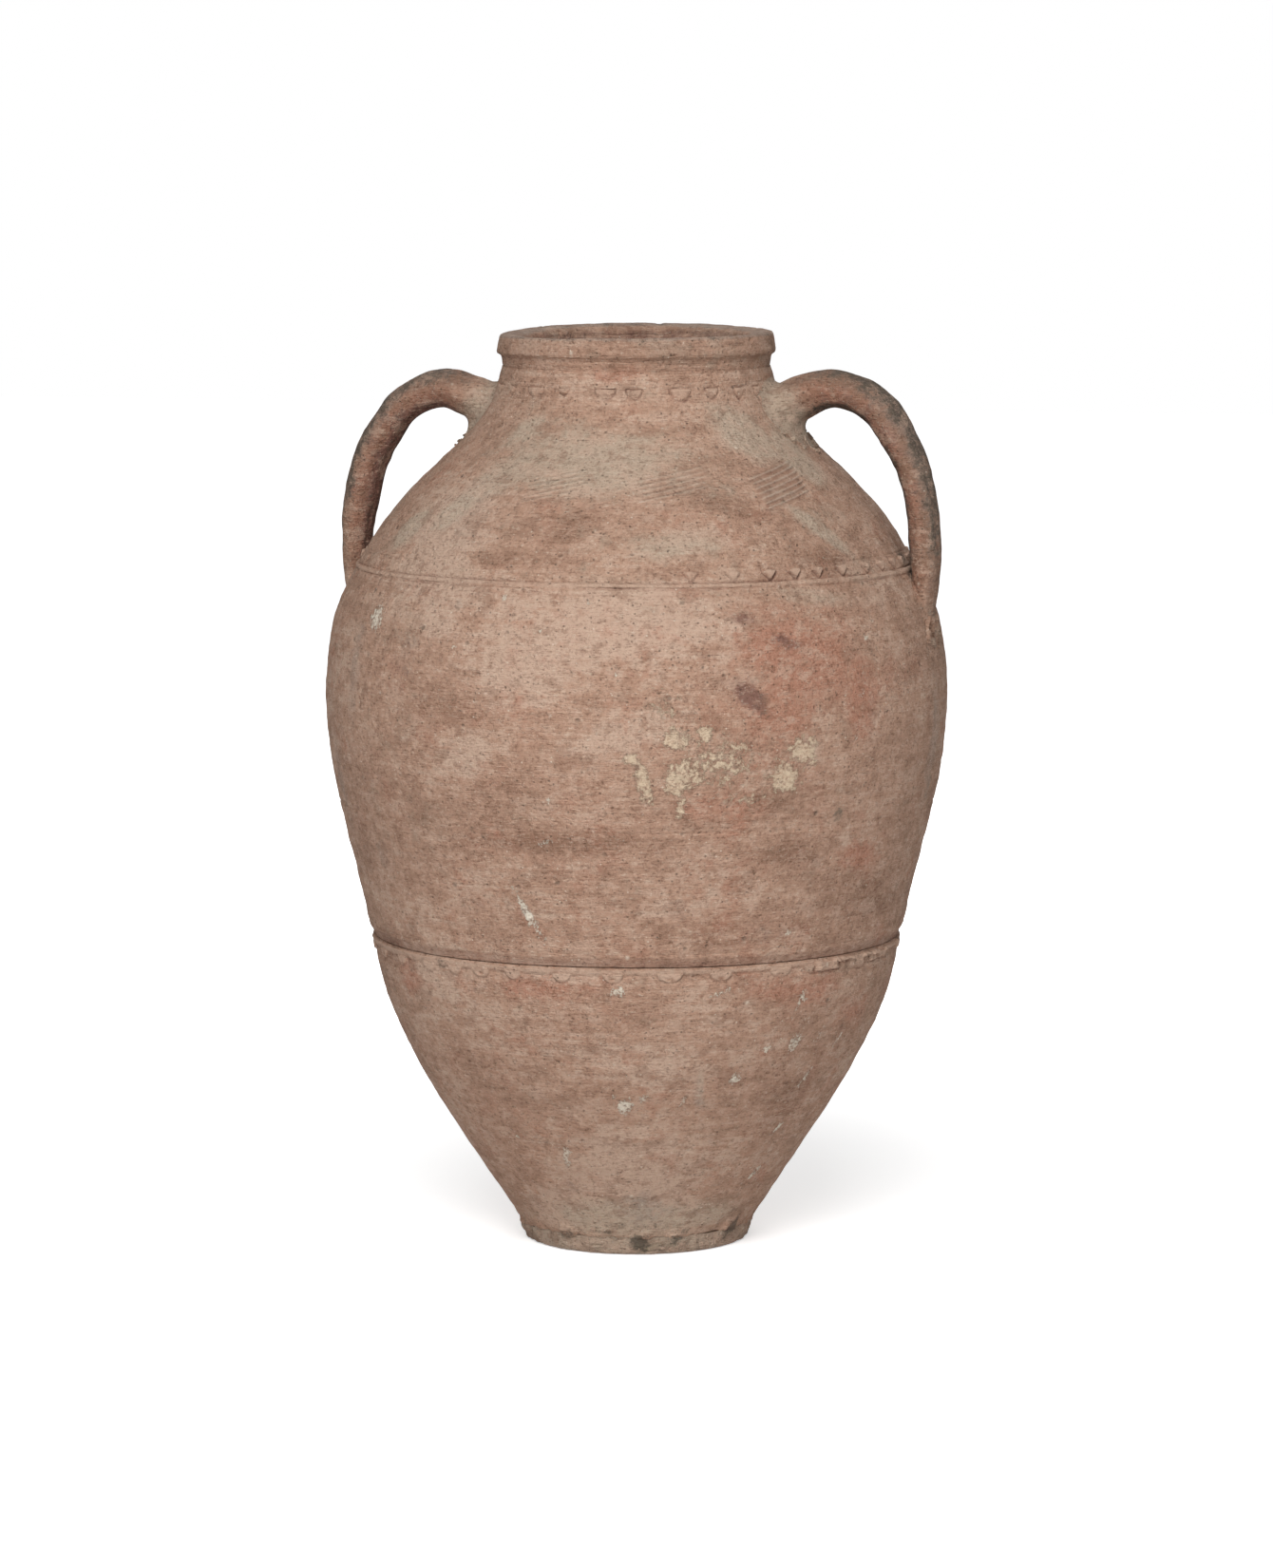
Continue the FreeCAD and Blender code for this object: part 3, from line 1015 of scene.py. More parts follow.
class AMPHORA_OT_handles(bpy.types.Operator):
    """Pull both handles, and leave the finger marks in them"""

    bl_idname = "amphora.handles"
    bl_label = "Handles"

    def execute(self, context):
        for name in HANDLES:
            line = HandleLine(name)
            handle = pulled(f"{name}_pulled_handle", line)
            place = HandlePlaces(handle, line)
            displace(handle, 4.0 * MM, cloudy("handle lumps", 0.055, 1))
            displace(handle, 1.6 * MM, cloudy("handle dents", 0.018, 2))
            displace(handle, 0.8 * MM, cloudy("weathered skin", 0.011, 2))
            drift = wander(place.distance, 61, 0.8, (1, 2, 3))
            strokes = 0.5 + 0.5 * np.sin(np.radians(place.turn) * 9 + drift)
            press(handle, "pulling strokes", strokes, -0.7 * MM)
            finish_piece(handle, f"{name}_handle", "handle_clay")
            paint_handle(handle, line)
        return {"FINISHED"}


def paint_handle(handle, line):
    """Colours a handle: grey-black lichen over its top, red down its inner side, painted shade in black,
    brown and mauve down the inner side that faces the wall and in the crotch by its lower root, and a
    painted highlight along its crest.
    """
    place = HandlePlaces(handle, line)
    turn = np.abs(place.turn)
    outer, under = smoothstep(82, 128, turn), 1 - smoothstep(38, 78, turn)
    over_top = smoothstep(25, 60, place.distance) * (1 - smoothstep(170, 300, place.distance))
    fresh = 1 - smoothstep(10, 50, place.distance)
    crest_highlight = hump(turn - 100, 12)
    tail = smoothstep(line.length / MM - 70, line.length / MM - 25, place.distance)
    # Painted shade in the crotch where the lower root meets the wall.
    crotch = hump(place.z - 568, 12) * (turn < 60) * 0.7
    # Painted shade down the inner side, which faces the wall, in black, brown and mauve below. The left
    # handle has less of it, and is less brown.
    inner_shade = under * (1 - fresh) * (1 - tail) * (1.0 if line.side > 0 else 0.38)
    paint(handle, "soot", np.maximum(0.60 * outer * over_top + 0.85 * inner_shade + 0.2, crotch))
    browned = (0.7 if line.side > 0 else 0.22) + 0.30 * over_top + 0.6 * inner_shade - 0.6 * fresh - 0.4 * tail
    paint(handle, "brown", browned)
    paint(handle, "red", 0.45 * (1 - outer) * over_top)
    paint(handle, "mauve", (0.55 * under + 0.35 * over_top) * (1 - fresh) * (1 - tail))
    # A painted highlight along the crest.
    paint(handle, "pale", 0.6 * crest_highlight * (1 - over_top * 0.5))
    paint(handle, "grey", 0.35 + 0.45 * outer * over_top)
    paint(handle, "dust", 0.6 * fresh + 0.3 * tail)


class AMPHORA_OT_pads(bpy.types.Operator):
    """Smear a clay pad round each root of the handles"""

    bl_idname = "amphora.pads"
    bl_label = "Handle pads"

    def execute(self, context):
        walls = ["thrown_upper_belly", "thrown_shoulder", "thrown_neck", "shoulder_luting", "neck_luting"]
        wall_skin = Skin([bpy.data.objects[name] for name in walls])
        for name in HANDLES:
            line = HandleLine(name)
            handle_skin = Skin([bpy.data.objects[f"{name}_pulled_handle"]])
            for root in ("neck", "shoulder"):
                pad = smeared_pad(f"{name}_{root}_pad", line, root == "neck", wall_skin, handle_skin)
                finish_piece(pad, f"{name}_handle_{root}_pad", "handle_clay")
                paint_handle(pad, line)
        return {"FINISHED"}


class Skin:
    """The surface of several pieces together, to lay clay on."""

    def __init__(self, pieces):
        points, faces = [], []
        for piece in pieces:
            first = len(points)
            points += [vert.co.copy() for vert in piece.data.vertices]
            faces += [[first + index for index in face.vertices] for face in piece.data.polygons]
        self.tree = BVHTree.FromPolygons(points, faces)

    def under(self, point, depth=0.0):
        """The nearest place on the skin, sunk below it by depth."""
        place, normal, _, _ = self.tree.find_nearest(point)
        return place - normal * depth

    def facing(self, angle, height, depth=0.0):
        """The outermost place on the wall at an angle and height, sunk below it by depth."""
        towards = Vector((-math.cos(angle), -math.sin(angle), 0))
        place, normal, _, _ = self.tree.ray_cast(-RAY_START * towards + Vector((0, 0, height)), towards)
        return place - normal * depth


def smeared_pad(name, line, from_neck, wall, handle, around=160, across=16):
    """A ring of clay between a handle and the wall, from where they meet out to a feathered edge on each."""
    meeting = []
    for turn in np.linspace(0, math.tau, around, endpoint=False):
        distance, step = (0, MM) if from_neck else (line.length, -MM)
        while depth_in_wall(line.point(distance, turn)) > 0:
            distance += step
        meeting.append((turn, distance, step))
    corners = [line.point(distance, turn) for turn, distance, _ in meeting]
    scale = sum(math.hypot(corner.x, corner.y) for corner in corners) / around
    flat = np.array([(math.atan2(corner.y, corner.x * line.side) * scale, corner.z) for corner in corners])
    run = np.roll(flat, -2, axis=0) - np.roll(flat, 2, axis=0)
    outwards = np.stack([run[:, 1], -run[:, 0]], axis=1) / np.linalg.norm(run, axis=1)[:, None]
    if np.sum(outwards * (flat - flat.mean(axis=0))) < 0:
        outwards = -outwards
    points = []
    for (turn, distance, step), corner, spot, away in zip(meeting, corners, flat, outwards):
        far = pad_reach(turn, from_neck)
        points += pad_row(line, turn, distance, step, corner, spot, away, far, scale, wall, handle, across)
    faces = []
    row = across + 1
    for i in range(around):
        for j in range(across):
            a, b = i * row + j, (i + 1) % around * row + j
            faces.append((a, b, b + 1, a + 1))
    data = bpy.data.meshes.new(name)
    data.from_pydata(points, [], faces)
    pad = bpy.data.objects.new(name, data)
    bpy.context.scene.collection.objects.link(pad)
    pick(pad)
    away_from_line = points[across // 2] - centre_of(line, meeting[0][1])
    if pad.data.polygons[across // 2].normal.dot(away_from_line) < 0:
        pad.data.flip_normals()
    middle = np.tile(np.sin(np.linspace(0, math.pi, row)) ** 0.7, around)
    whole = weigh(pad, "middle", middle)
    smoothed(pad)
    displace(pad, 1.2 * MM, cloudy("handle dents", 0.018, 2), group=whole)
    displace(pad, 0.8 * MM, cloudy("weathered skin", 0.011, 2), group=whole)
    thicken(pad, PAD_THICKNESS)
    return pad


def centre_of(line, distance):
    radius, height = line.at(distance)[:2]
    return Vector((line.side * radius, 0, height))


def pad_reach(turn, from_neck):
    """How far a pad is smeared out at each turn: far under the neck root, hardly in the lower crotch."""
    inner = 0.5 + 0.5 * math.cos(turn)
    uneven = 1.2 * math.sin(3 * turn + 1) + 0.8 * math.sin(7 * turn)
    return (13 + 8 * inner if from_neck else 13 + 9 * (1 - inner) ** 3 - 8.5 * inner**2) + uneven


def depth_in_wall(point):
    """How far a point lies below the jar's outside."""
    return BODY(min(point.z, LIP_FOOT)) - math.hypot(point.x, point.y)


def pad_row(line, turn, distance, step, corner, spot, away, far, scale, wall, handle, across):
    """One line of a pad's skin, from the wall round the corner to the handle."""
    on_wall = spot + away * far * MM
    angle = on_wall[0] / scale
    if line.side < 0:
        angle = math.pi - angle
    start = wall.facing(angle, on_wall[1], PAD_EDGE_DEPTH)
    end = handle.under(line.point(distance + step * far, turn), PAD_EDGE_DEPTH)
    bend = wall.under(corner)
    row = []
    for part in np.linspace(0, 1, across + 1):
        row.append(start * (1 - part) ** 2 + bend * 2 * part * (1 - part) + end * part**2)
    return row


# ---------------------------------------------------------------- fired clay


class Amount:
    """A shader output that can stand in a sum; each sum adds a Math node."""

    def __init__(self, finish, socket):
        self.finish = finish
        self.socket = socket

    def reckon(self, operation, first, second):
        return self.finish.add("ShaderNodeMath", {0: first, 1: second}, operation=operation)

    def __add__(self, other):
        return self.reckon("ADD", self, other)

    def __radd__(self, other):
        return self.reckon("ADD", other, self)

    def __sub__(self, other):
        return self.reckon("SUBTRACT", self, other)

    def __rsub__(self, other):
        return self.reckon("SUBTRACT", other, self)

    def __mul__(self, other):
        return self.reckon("MULTIPLY", self, other)

    def __rmul__(self, other):
        return self.reckon("MULTIPLY", other, self)


class Finish:
    """The nodes of one clay finish, on Object coordinates."""

    def __init__(self, name):
        self.material = bpy.data.materials.new(name)
        self.material.use_nodes = True
        self.tree = self.material.node_tree
        self.surface = self.tree.nodes["Principled BSDF"]
        self.place = self.add("ShaderNodeTexCoord", {}, output="Object")
        self.colour = None

    def add(self, kind, inputs, output=0, **settings):
        """Adds a node with its settings, its inputs' values or links, and returns one of its outputs."""
        node = self.tree.nodes.new(kind)
        for setting, value in settings.items():
            setattr(node, setting, value)
        for socket, value in inputs.items():
            self.feed(node.inputs[socket], value)
        return Amount(self, node.outputs[output])

    def feed(self, socket, value):
        if isinstance(value, Amount):
            self.tree.links.new(value.socket, socket)
        else:
            socket.default_value = value

    def noise(self, size, detail=2.0, stretch=(1, 1, 1), harsh=0.55, shift=0.0):
        """Clouds of a size in metres, stretched along the axes."""
        scale = [1 / (size * axis) for axis in stretch]
        moved = {"Vector": self.place, "Scale": scale, "Location": (shift, shift, shift)}
        place = self.add("ShaderNodeMapping", moved)
        clouds = {"Vector": place, "Scale": 1.0, "Detail": detail, "Roughness": harsh}
        return self.add("ShaderNodeTexNoise", clouds)

    def flecks(self, gap, radius, share, shift=0.0):
        """Round flecks of a radius in metres, one in each cell of that gap, of which only a share shows."""
        place = self.add("ShaderNodeMapping", {"Vector": self.place, "Location": (shift, shift, shift)})
        cells = self.add("ShaderNodeTexVoronoi", {"Vector": place, "Scale": 1 / gap}, output="Distance")
        colour = Amount(self, cells.socket.node.outputs["Color"])
        lot = self.add("ShaderNodeSeparateColor", {"Color": colour}, output="Red")
        size = self.add("ShaderNodeSeparateColor", {"Color": colour}, output="Green") * 0.7 + 0.3
        near = self.ramp(cells - size * (radius / gap), 0.06, -0.06)
        return near * self.ramp(lot, share + 0.01, share - 0.01)

    def ramp(self, value, low, high):
        """0 below low and 1 above high, with a soft step between."""
        inputs = {"Value": value, "From Min": low, "From Max": high, "To Min": 0.0, "To Max": 1.0}
        return self.add("ShaderNodeMapRange", inputs, interpolation_type="SMOOTHSTEP")

    def mix(self, first, second, factor, blend="MIX"):
        """Two colours mixed."""
        inputs = {0: factor, 6: rgba(first), 7: rgba(second)}
        return self.add("ShaderNodeMix", inputs, output=2, data_type="RGBA", blend_type=blend)

    def coat(self, paint, amount):
        """Lays a colour over what the clay has so far."""
        self.colour = self.mix(self.colour, paint, amount)

    def darken(self, shade, amount):
        """Multiplies what the clay has so far by a shade."""
        self.coat(self.mix(self.colour, shade, 1.0, "MULTIPLY"), amount)

    def painted(self, name):
        """An attribute painted on the piece's points."""
        return self.add("ShaderNodeAttribute", {}, output="Fac", attribute_name=name)


def rgba(colour):
    if isinstance(colour, Amount):
        return colour
    return (*tuple(colour)[:3], 1.0)


# How each slot's clay differs: more or less brown, dust and grey, and how coarse its skin is.
SLOTS = {
    "foot_clay": (-0.44, 0.30, 0.06, 1.9), "wall_clay": (0.0, 0.0, 0.0, 1.0),
    "shoulder_clay": (0.0, 0.0, 0.0, 1.0), "seam_clay": (-0.03, 0.05, 0.0, 1.0),
    "lip_clay": (0.06, 0.0, 0.10, 1.2), "handle_clay": (0.16, 0.0, 0.0, 1.4),
}
# What the hollows of the skin and its broader mottles are darkened by.
SKIN_SHADE = (0.58, 0.54, 0.52)
MOTTLE_SHADE = (0.50, 0.45, 0.42)
BUMP_STRENGTH = 0.9
BUMP_DEPTH = 2.9 * MM


def clay_finish(slot):
    """The finish of one slot, made once: fired clay with its streaks, flecks, dust and stains."""
    name = f"weathered {slot}"
    known = bpy.data.materials.get(name)
    if known:
        return known
    brown_share, dust_share, grey_share, coarse = SLOTS[slot]
    tint = colours()
    clay = Finish(name)
    height = clay.add("ShaderNodeSeparateXYZ", {"Vector": clay.place}, output="Z")

    broad = clay.noise(0.10, 3)
    drift = clay.noise(0.040, 5, stretch=(2.0, 2.0, 1), harsh=0.62, shift=4.0)
    ragged = clay.noise(0.011, 5, harsh=0.70, shift=11.0)
    streaks = clay.noise(0.0034, 3, stretch=(24, 24, 1), harsh=0.6, shift=2.0)
    grain = clay.noise(0.0024, 4, harsh=0.72)
    fibres = clay.noise(0.0010, 3, stretch=(6, 6, 1), harsh=0.6, shift=6.0)

    # The body's own colour, from pale pink to brown, with the throwing streaks in it.
    tone = broad * 0.4 + drift * 0.7 + streaks * 0.6 + ragged * 1.0 - 0.10
    tone = tone + clay.painted("brown") * 0.55 - clay.painted("pale") * 0.5 + brown_share
    clay.colour = clay.mix(tint.pale, tint.clay, clay.ramp(tone, 0.98, 1.24))
    clay.coat(tint.brown, clay.ramp(tone, 1.18, 1.68))
    redness = clay.noise(0.05, 5, harsh=0.65, shift=3.0) + ragged * 0.8 + clay.painted("red") * 0.55 - 0.4
    clay.coat(tint.red, clay.ramp(redness, 0.50, 0.90) * 0.85)

    # Dust and bloom that lie on it in ragged drifts.
    dusty = ragged * 0.9 + drift * 0.9 + clay.painted("dust") * 0.75 + clay.ramp(height, 0.46, 0.64) * 0.10
    clay.coat(tint.dust, clay.ramp(dusty + dust_share, 0.98, 1.42) * 0.75)
    greyish = ragged * 0.9 + broad * 0.6 + clay.painted("grey") * 0.75 + grey_share
    clay.coat(tint.grey, clay.ramp(greyish, 1.02, 1.5) * 0.6)
    bruised = ragged * 1.6 + grain * 0.8 + clay.painted("mauve") * 1.2
    clay.coat(tint.mauve, clay.ramp(bruised, 1.52, 2.1) * 0.8)
    worn = clay.noise(0.016, 6, stretch=(1.6, 1.6, 1), harsh=0.72, shift=17.0)
    clay.coat(tint.brown, clay.ramp(worn, 0.53, 0.59) * 0.46)
    clay.coat(tint.pale, clay.ramp(worn, 0.46, 0.41) * 0.48)

    # The skin's own grain, a few millimetres across.
    skin = grain * 0.55 + fibres * 0.45
    clay.darken(SKIN_SHADE, clay.ramp(skin, 0.49, 0.36))
    clay.coat(tint.lime, clay.ramp(skin, 0.54, 0.66) * 0.34)
    # Pale on the bands' raised relief, partly wear and partly painted highlight; mauve in their pressed-in
    # marks and in the pared hollow over the lower band, as painted shade.
    clay.coat(tint.pale, clay.painted("worn") * 0.75)
    clay.coat(tint.mauve, clay.painted("groove") * 0.42)

    mottled = clay.noise(0.0056, 5, stretch=(1.2, 1.2, 1), harsh=0.75, shift=31.0)
    clay.darken(MOTTLE_SHADE, clay.ramp(mottled, 0.46, 0.35) * 0.48)
    clay.coat(tint.pale, clay.ramp(mottled, 0.54, 0.64) * 0.4)
    pits = clay.flecks(0.0045, 0.0008, 0.6) + clay.flecks(0.019, 0.0018, 0.45, shift=2.0)
    clay.coat(tint.soot, pits * 0.42)
    flecks = clay.flecks(0.0060, 0.0007, 0.45, shift=5.0) + clay.flecks(0.026, 0.0014, 0.45, shift=9.0)
    clay.coat(tint.lime, flecks * 0.6)

    # Crusts and stains, thin and broken at their edges.
    broken = ragged * 4.0 + grain * 3.0
    cream = clay.painted("cream")
    crumbly = clay.noise(0.0060, 5, harsh=0.85, shift=23.0) * 5.0 + ragged * 2.0
    cream = clay.ramp(cream * 2.1 + crumbly - 4.40, 0.0, 0.5) * clay.ramp(cream, 0.02, 0.2)
    thin = clay.ramp(mottled * 0.6 + grain * 0.4, 0.38, 0.56) * 0.75 + 0.2
    clay.coat(tint.cream, cream * thin)
    scratched = clay.noise(0.0052, 5, stretch=(0.7, 0.7, 1.6), harsh=0.75, shift=13.0) * 4.0 + grain * 3.0
    lime = clay.painted("lime")
    lime = clay.ramp(lime * 2.0 + scratched - 4.75, 0.0, 0.5) * clay.ramp(lime, 0.02, 0.2)
    clay.coat(tint.lime, lime * thin)
    # This dark layer also carries painted shade: down the handles' inner sides and in the crotches by their
    # lower roots.
    soot = clay.painted("soot")
    soot = clay.ramp(soot * 1.9 + broken - 4.3, 0.0, 1.2) * clay.ramp(soot, 0.02, 0.2)
    clay.coat(tint.soot, soot * 0.75)

    necked = clay.ramp(height, 0.690, 0.712) * 0.6 + 0.5
    crumbs = clay.flecks(0.0065, 0.0022, 0.6, shift=21.0)
    relief = grain * 0.9 + fibres * 0.5 + ragged * 1.2 + streaks * necked + cream * 0.35 + lime * 0.25
    relief = relief + crumbs * 0.22 - pits * 0.8
    rows = clay.painted("comb rows") * (math.tau / COMB_PITCH)
    teeth = clay.add("ShaderNodeMath", {0: rows}, operation="COSINE")
    relief = relief + teeth * clay.painted("combed") * 0.5
    # Painted shade in the comb marks' grooves and painted highlight on their ridges, which the bump alone
    # shows too weakly.
    clay.coat(tint.brown, clay.ramp(teeth, 0.0, -0.9) * clay.painted("combed") * 0.32)
    clay.coat(tint.lime, clay.ramp(teeth, 0.2, 0.9) * clay.painted("combed") * 0.20)
    bump = {"Height": relief, "Strength": BUMP_STRENGTH, "Distance": BUMP_DEPTH * coarse}
    normal = clay.add("ShaderNodeBump", bump)
    clay.feed(clay.surface.inputs["Base Color"], clay.colour)
    clay.feed(clay.surface.inputs["Roughness"], clay.ramp(grain, 0.2, 0.8) * 0.12 + 0.82)
    clay.feed(clay.surface.inputs["Normal"], normal)
    clay.surface.inputs["Specular IOR Level"].default_value = 0.25
    return clay.material


# ---------------------------------------------------------------- stains, crusts and marks


# Marks on the skin by kind: angle, height, width, tallness and strength, and a tilt if they lean.
MARKS = {
    "brown": [
        (-89, 604, 90, 50, 0.6, 30), (-52, 618, 120, 34, 0.6, -20), (-87, 358, 300, 34, 0.6),
        (-60, 285, 420, 60, 0.35), (-20, 300, 150, 100, 0.5), (-112, 466, 90, 50, 0.35),
        (-100, 580, 160, 24, 0.45, 4), (-50, 392, 120, 30, 0.7), (-45, 345, 120, 40, 0.6),
        (-30, 575, 150, 40, 0.6), (-140, 250, 60, 60, 0.6), (-122, 175, 40, 110, 0.3, 10),
        (-30, 130, 60, 120, 0.5, -20), (60, 350, 320, 60, 0.6), (150, 300, 260, 80, 0.5),
    ],
    "pale": [
        (-77, 535, 260, 90, 0.9), (-96, 500, 150, 120, 0.7), (-80, 440, 150, 90, 0.45),
        (-108, 425, 90, 90, 0.5), (-65, 300, 90, 50, 0.35), (-72, 80, 230, 170, 0.7),
        (-76, 175, 180, 70, 0.5), (-125, 240, 140, 160, 0.5), (-122, 580, 160, 200, 0.7),
        (-118, 530, 110, 70, 0.6), (-80, 712, 160, 30, 0.4), (-75, 40, 320, 70, 0.6),
        (90, 520, 240, 110, 0.8),
    ],
    "red": [
        (-44, 500, 190, 130, 0.9, -10), (-31, 470, 70, 120, 0.8, 10), (-27, 339, 90, 50, 0.7),
        (-84, 720, 70, 26, 0.8), (-134, 231, 60, 44, 0.8), (-100, 238, 110, 36, 0.5),
        (-40, 232, 130, 50, 0.7), (-16, 207, 80, 60, 0.6), (-60, 385, 150, 60, 0.6),
        (-50, 470, 150, 160, 0.6), (130, 470, 200, 140, 0.8, 10), (60, 230, 160, 60, 0.7),
    ],
    "dust": [
        (-59, 156, 14, 60, 0.5, 6), (-124, 615, 70, 40, 0.95, 42), (-137, 597, 70, 40, 0.9, 42),
        (-118, 675, 50, 30, 0.7, 30), (-84, 650, 210, 80, 0.7), (-115, 640, 120, 60, 0.5, 30),
        (-35, 672, 90, 60, 0.95, -30), (-17, 650, 70, 60, 0.95, -40), (-29, 598, 90, 24, 0.9, -40),
        (-66, 590, 150, 40, 0.6, 5), (-38, 548, 130, 24, 0.5, -4), (-75, 32, 330, 60, 0.85),
        (100, 600, 240, 90, 0.9, 10), (40, 640, 120, 60, 0.8, 20),
    ],
    "grey": [
        (-70, 60, 160, 80, 0.4), (-118, 600, 130, 160, 0.5), (-122, 500, 80, 120, 0.5),
        (-111, 543, 18, 22, 1), (-138, 478, 60, 220, 0.8), (-150, 400, 60, 260, 0.8),
        (-135, 333, 90, 90, 0.6), (-28, 455, 26, 130, 0.55, 4), (-4, 430, 70, 260, 0.8),
        (-110, 300, 110, 60, 0.5), (-59, 150, 26, 90, 0.8, 4), (-100, 60, 90, 60, 0.6),
        (-48, 280, 160, 50, 0.5), (-68, 300, 60, 60, 0.5), (-72, 44, 130, 80, 0.7),
        (60, 160, 20, 80, 0.8, -5), (120, 330, 120, 80, 0.6),
    ],
    "mauve": [
        (-55, 475, 75, 37, 0.9, -35), (-55, 535, 51, 24, 0.7), (-47, 516, 48, 27, 0.7, -20),
        (60, 500, 136, 51, 0.9, 15),
    ],
    "cream": [
        (-63, 446, 31, 27, 0.85), (-68, 409, 44, 34, 0.95), (-48, 408, 41, 37, 1), (-42, 422, 24, 20, 0.85),
        (-76, 427, 24, 20, 0.85), (-73, 396, 27, 24, 0.85), (-60, 422, 130, 80, 0.62),
        (-48, 412, 60, 50, 0.8, 20), (-66, 415, 60, 60, 0.8), (-70, 470, 90, 60, 0.4),
        (-55, 395, 120, 40, 0.45), (-74, 411, 20, 62, 1, 10), (-68, 441, 52, 40, 0.85),
        (-68, 409, 40, 46, 0.95), (-67, 386, 16, 40, 0.8, -15), (-44, 430, 54, 40, 0.95, 10),
        (-47, 408, 40, 46, 0.95, 30), (-57, 432, 40, 34, 0.75), (-66, 8, 90, 14, 0.6), (75, 400, 68, 51, 1),
        (165, 430, 58, 44, 1),
    ],
    "lime": [
        (-133, 527, 42, 46, 1, 20), (-101, 550, 15, 12, 0.95), (-84, 548, 12, 12, 0.85),
        (-93, 525, 12, 12, 0.85), (-110, 510, 15, 12, 0.85), (-79, 493, 12, 9, 0.85),
        (-82, 447, 12, 12, 0.85), (-121, 443, 15, 12, 0.85), (-91, 392, 12, 12, 0.85),
        (-67, 513, 12, 9, 0.85), (-28, 514, 12, 12, 0.95), (-32, 437, 15, 12, 0.95),
        (-31, 469, 12, 12, 0.95), (-97, 297, 19, 104, 1, 27), (-42, 281, 15, 12, 0.95),
        (-79, 236, 36, 18, 1, 20), (-55, 237, 12, 12, 0.95), (-36, 223, 18, 12, 0.95),
        (-35, 188, 15, 12, 0.95), (-49, 158, 18, 12, 0.95), (-78, 138, 34, 30, 1), (-72, 144, 12, 12, 0.85),
        (-81, 147, 12, 12, 0.85), (-97, 95, 18, 15, 0.95), (-62, 145, 12, 12, 0.85),
        (-92, 358, 44, 10, 0.75, 15), (-91, 375, 10, 34, 0.6), (-40, 190, 60, 60, 0.45, 40),
        (-62, 395, 60, 10, 0.6, 8), (-28, 190, 30, 70, 0.6, -20), (-133, 528, 24, 26, 0.9),
        (-30, 480, 30, 90, 0.5, 5), (-57, 234, 60, 12, 0.75, 22), (-37, 221, 11, 66, 0.8, -20),
        (-35, 186, 30, 36, 1, -20), (-19, 181, 12, 70, 0.75, -25), (-43, 183, 26, 14, 0.9, 20),
        (-26, 154, 12, 44, 0.9, -30), (-28, 108, 14, 50, 0.9, -35), (-28, 66, 12, 50, 0.9, -40),
        (-73, 145, 22, 12, 0.95), (-78, 134, 30, 16, 0.8, 30), (-63, 140, 12, 40, 0.8, -20),
        (-50, 160, 20, 24, 1, -20), (-98, 88, 14, 40, 0.9), (-114, 103, 18, 14, 0.8, 40),
        (-34, 205, 50, 12, 0.7, 20), (-54, 12, 34, 20, 0.7), (-88, 14, 40, 16, 0.6),
        (40, 460, 45, 30, 1, 10), (150, 520, 36, 45, 1), (88, 250, 21, 15, 1), (130, 200, 18, 15, 1),
    ],
    "soot": [
        (-104, 465, 14, 12, 0.7), (-106, 446, 15, 21, 0.55, 20), (-27, 503, 18, 18, 0.75),
        (-35, 375, 30, 21, 0.7, 20), (-38, 386, 15, 15, 0.6), (-29, 395, 21, 21, 0.6),
        (-52, 460, 160, 120, 0.3), (-108, 470, 120, 90, 0.3), (-40, 590, 160, 50, 0.32),
        (-96, 575, 170, 40, 0.34), (-70, 300, 300, 90, 0.26), (-75, 26, 200, 20, 0.5),
        # The marks at 0 and 180 degrees, 564 and 570 mm high, are painted shade in the crotch where each
        # handle's lower root meets the wall.
        (0, 570, 44, 26, 0.8), (180, 564, 44, 26, 0.8), (-73, 12, 30, 30, 1.3), (-110, 16, 36, 20, 0.9),
        (-54, 20, 34, 20, 0.8), (-22, 18, 34, 30, 1.1), (-54, 13, 44, 34, 0.75), (-92, 20, 60, 8, 0.8),
        (-64, 4, 120, 6, 0.7), (-23, 12, 39, 30, 0.8), (-120, 250, 45, 18, 0.7), (110, 380, 39, 27, 0.8),
        (30, 240, 27, 18, 0.8),
    ],
}
# Bundles of comb marks: their middle as angle and height, length, slope in degrees, height, and how deep.
COMBS = [
    (-33, 633, 62, 12, 27, 1), (-65, 636, 64, 11, 20, 0.5), (-97, 634, 50, 12, 18, 0.4),
    (60, 630, 90, 10, 24, 0.8), (120, 636, 70, -8, 22, 0.6),
]
# Gap between a comb's teeth, in millimetres.
COMB_PITCH = 3.7


def paint(piece, name, amounts):
    """Paints an amount on each point of a piece, for its finish to read."""
    layer = piece.data.attributes.get(name) or piece.data.attributes.new(name, "FLOAT", "POINT")
    layer.data.foreach_set("value", np.asarray(amounts, dtype=np.float32))


def paint_marks(piece):
    """Paints the marks that fall on a piece, on its outside only."""
    place = Places(piece)
    outside = smoothstep(-13, -10, place.radius - outside_radius(place.height))
    for kind, marks in MARKS.items():
        amount = np.zeros(len(place.height))
        for angle, height, wide, tall, strength, *tilt in marks:
            amount = np.maximum(amount, place.blot(angle, height, wide, tall, *tilt) * strength)
        paint(piece, kind, amount * outside)
    combed, rows = np.zeros(len(place.height)), np.zeros(len(place.height))
    for angle, height, length, slope, tall, depth in COMBS:
        along, up = place.along(angle), place.height - height
        rise = up - along * math.tan(math.radians(slope))
        within = 1 - smoothstep(0.75, 1, np.abs(along) / (length / 2))
        within = within * (1 - smoothstep(0.85, 1.1, np.abs(rise) / (tall / 2))) * depth
        near = np.abs(along) < length * 0.6
        rows = np.where(near & (np.abs(rise) < 40), rise, rows)
        combed = np.maximum(combed, within * near)
    paint(piece, "combed", combed * outside)
    paint(piece, "comb rows", rows)


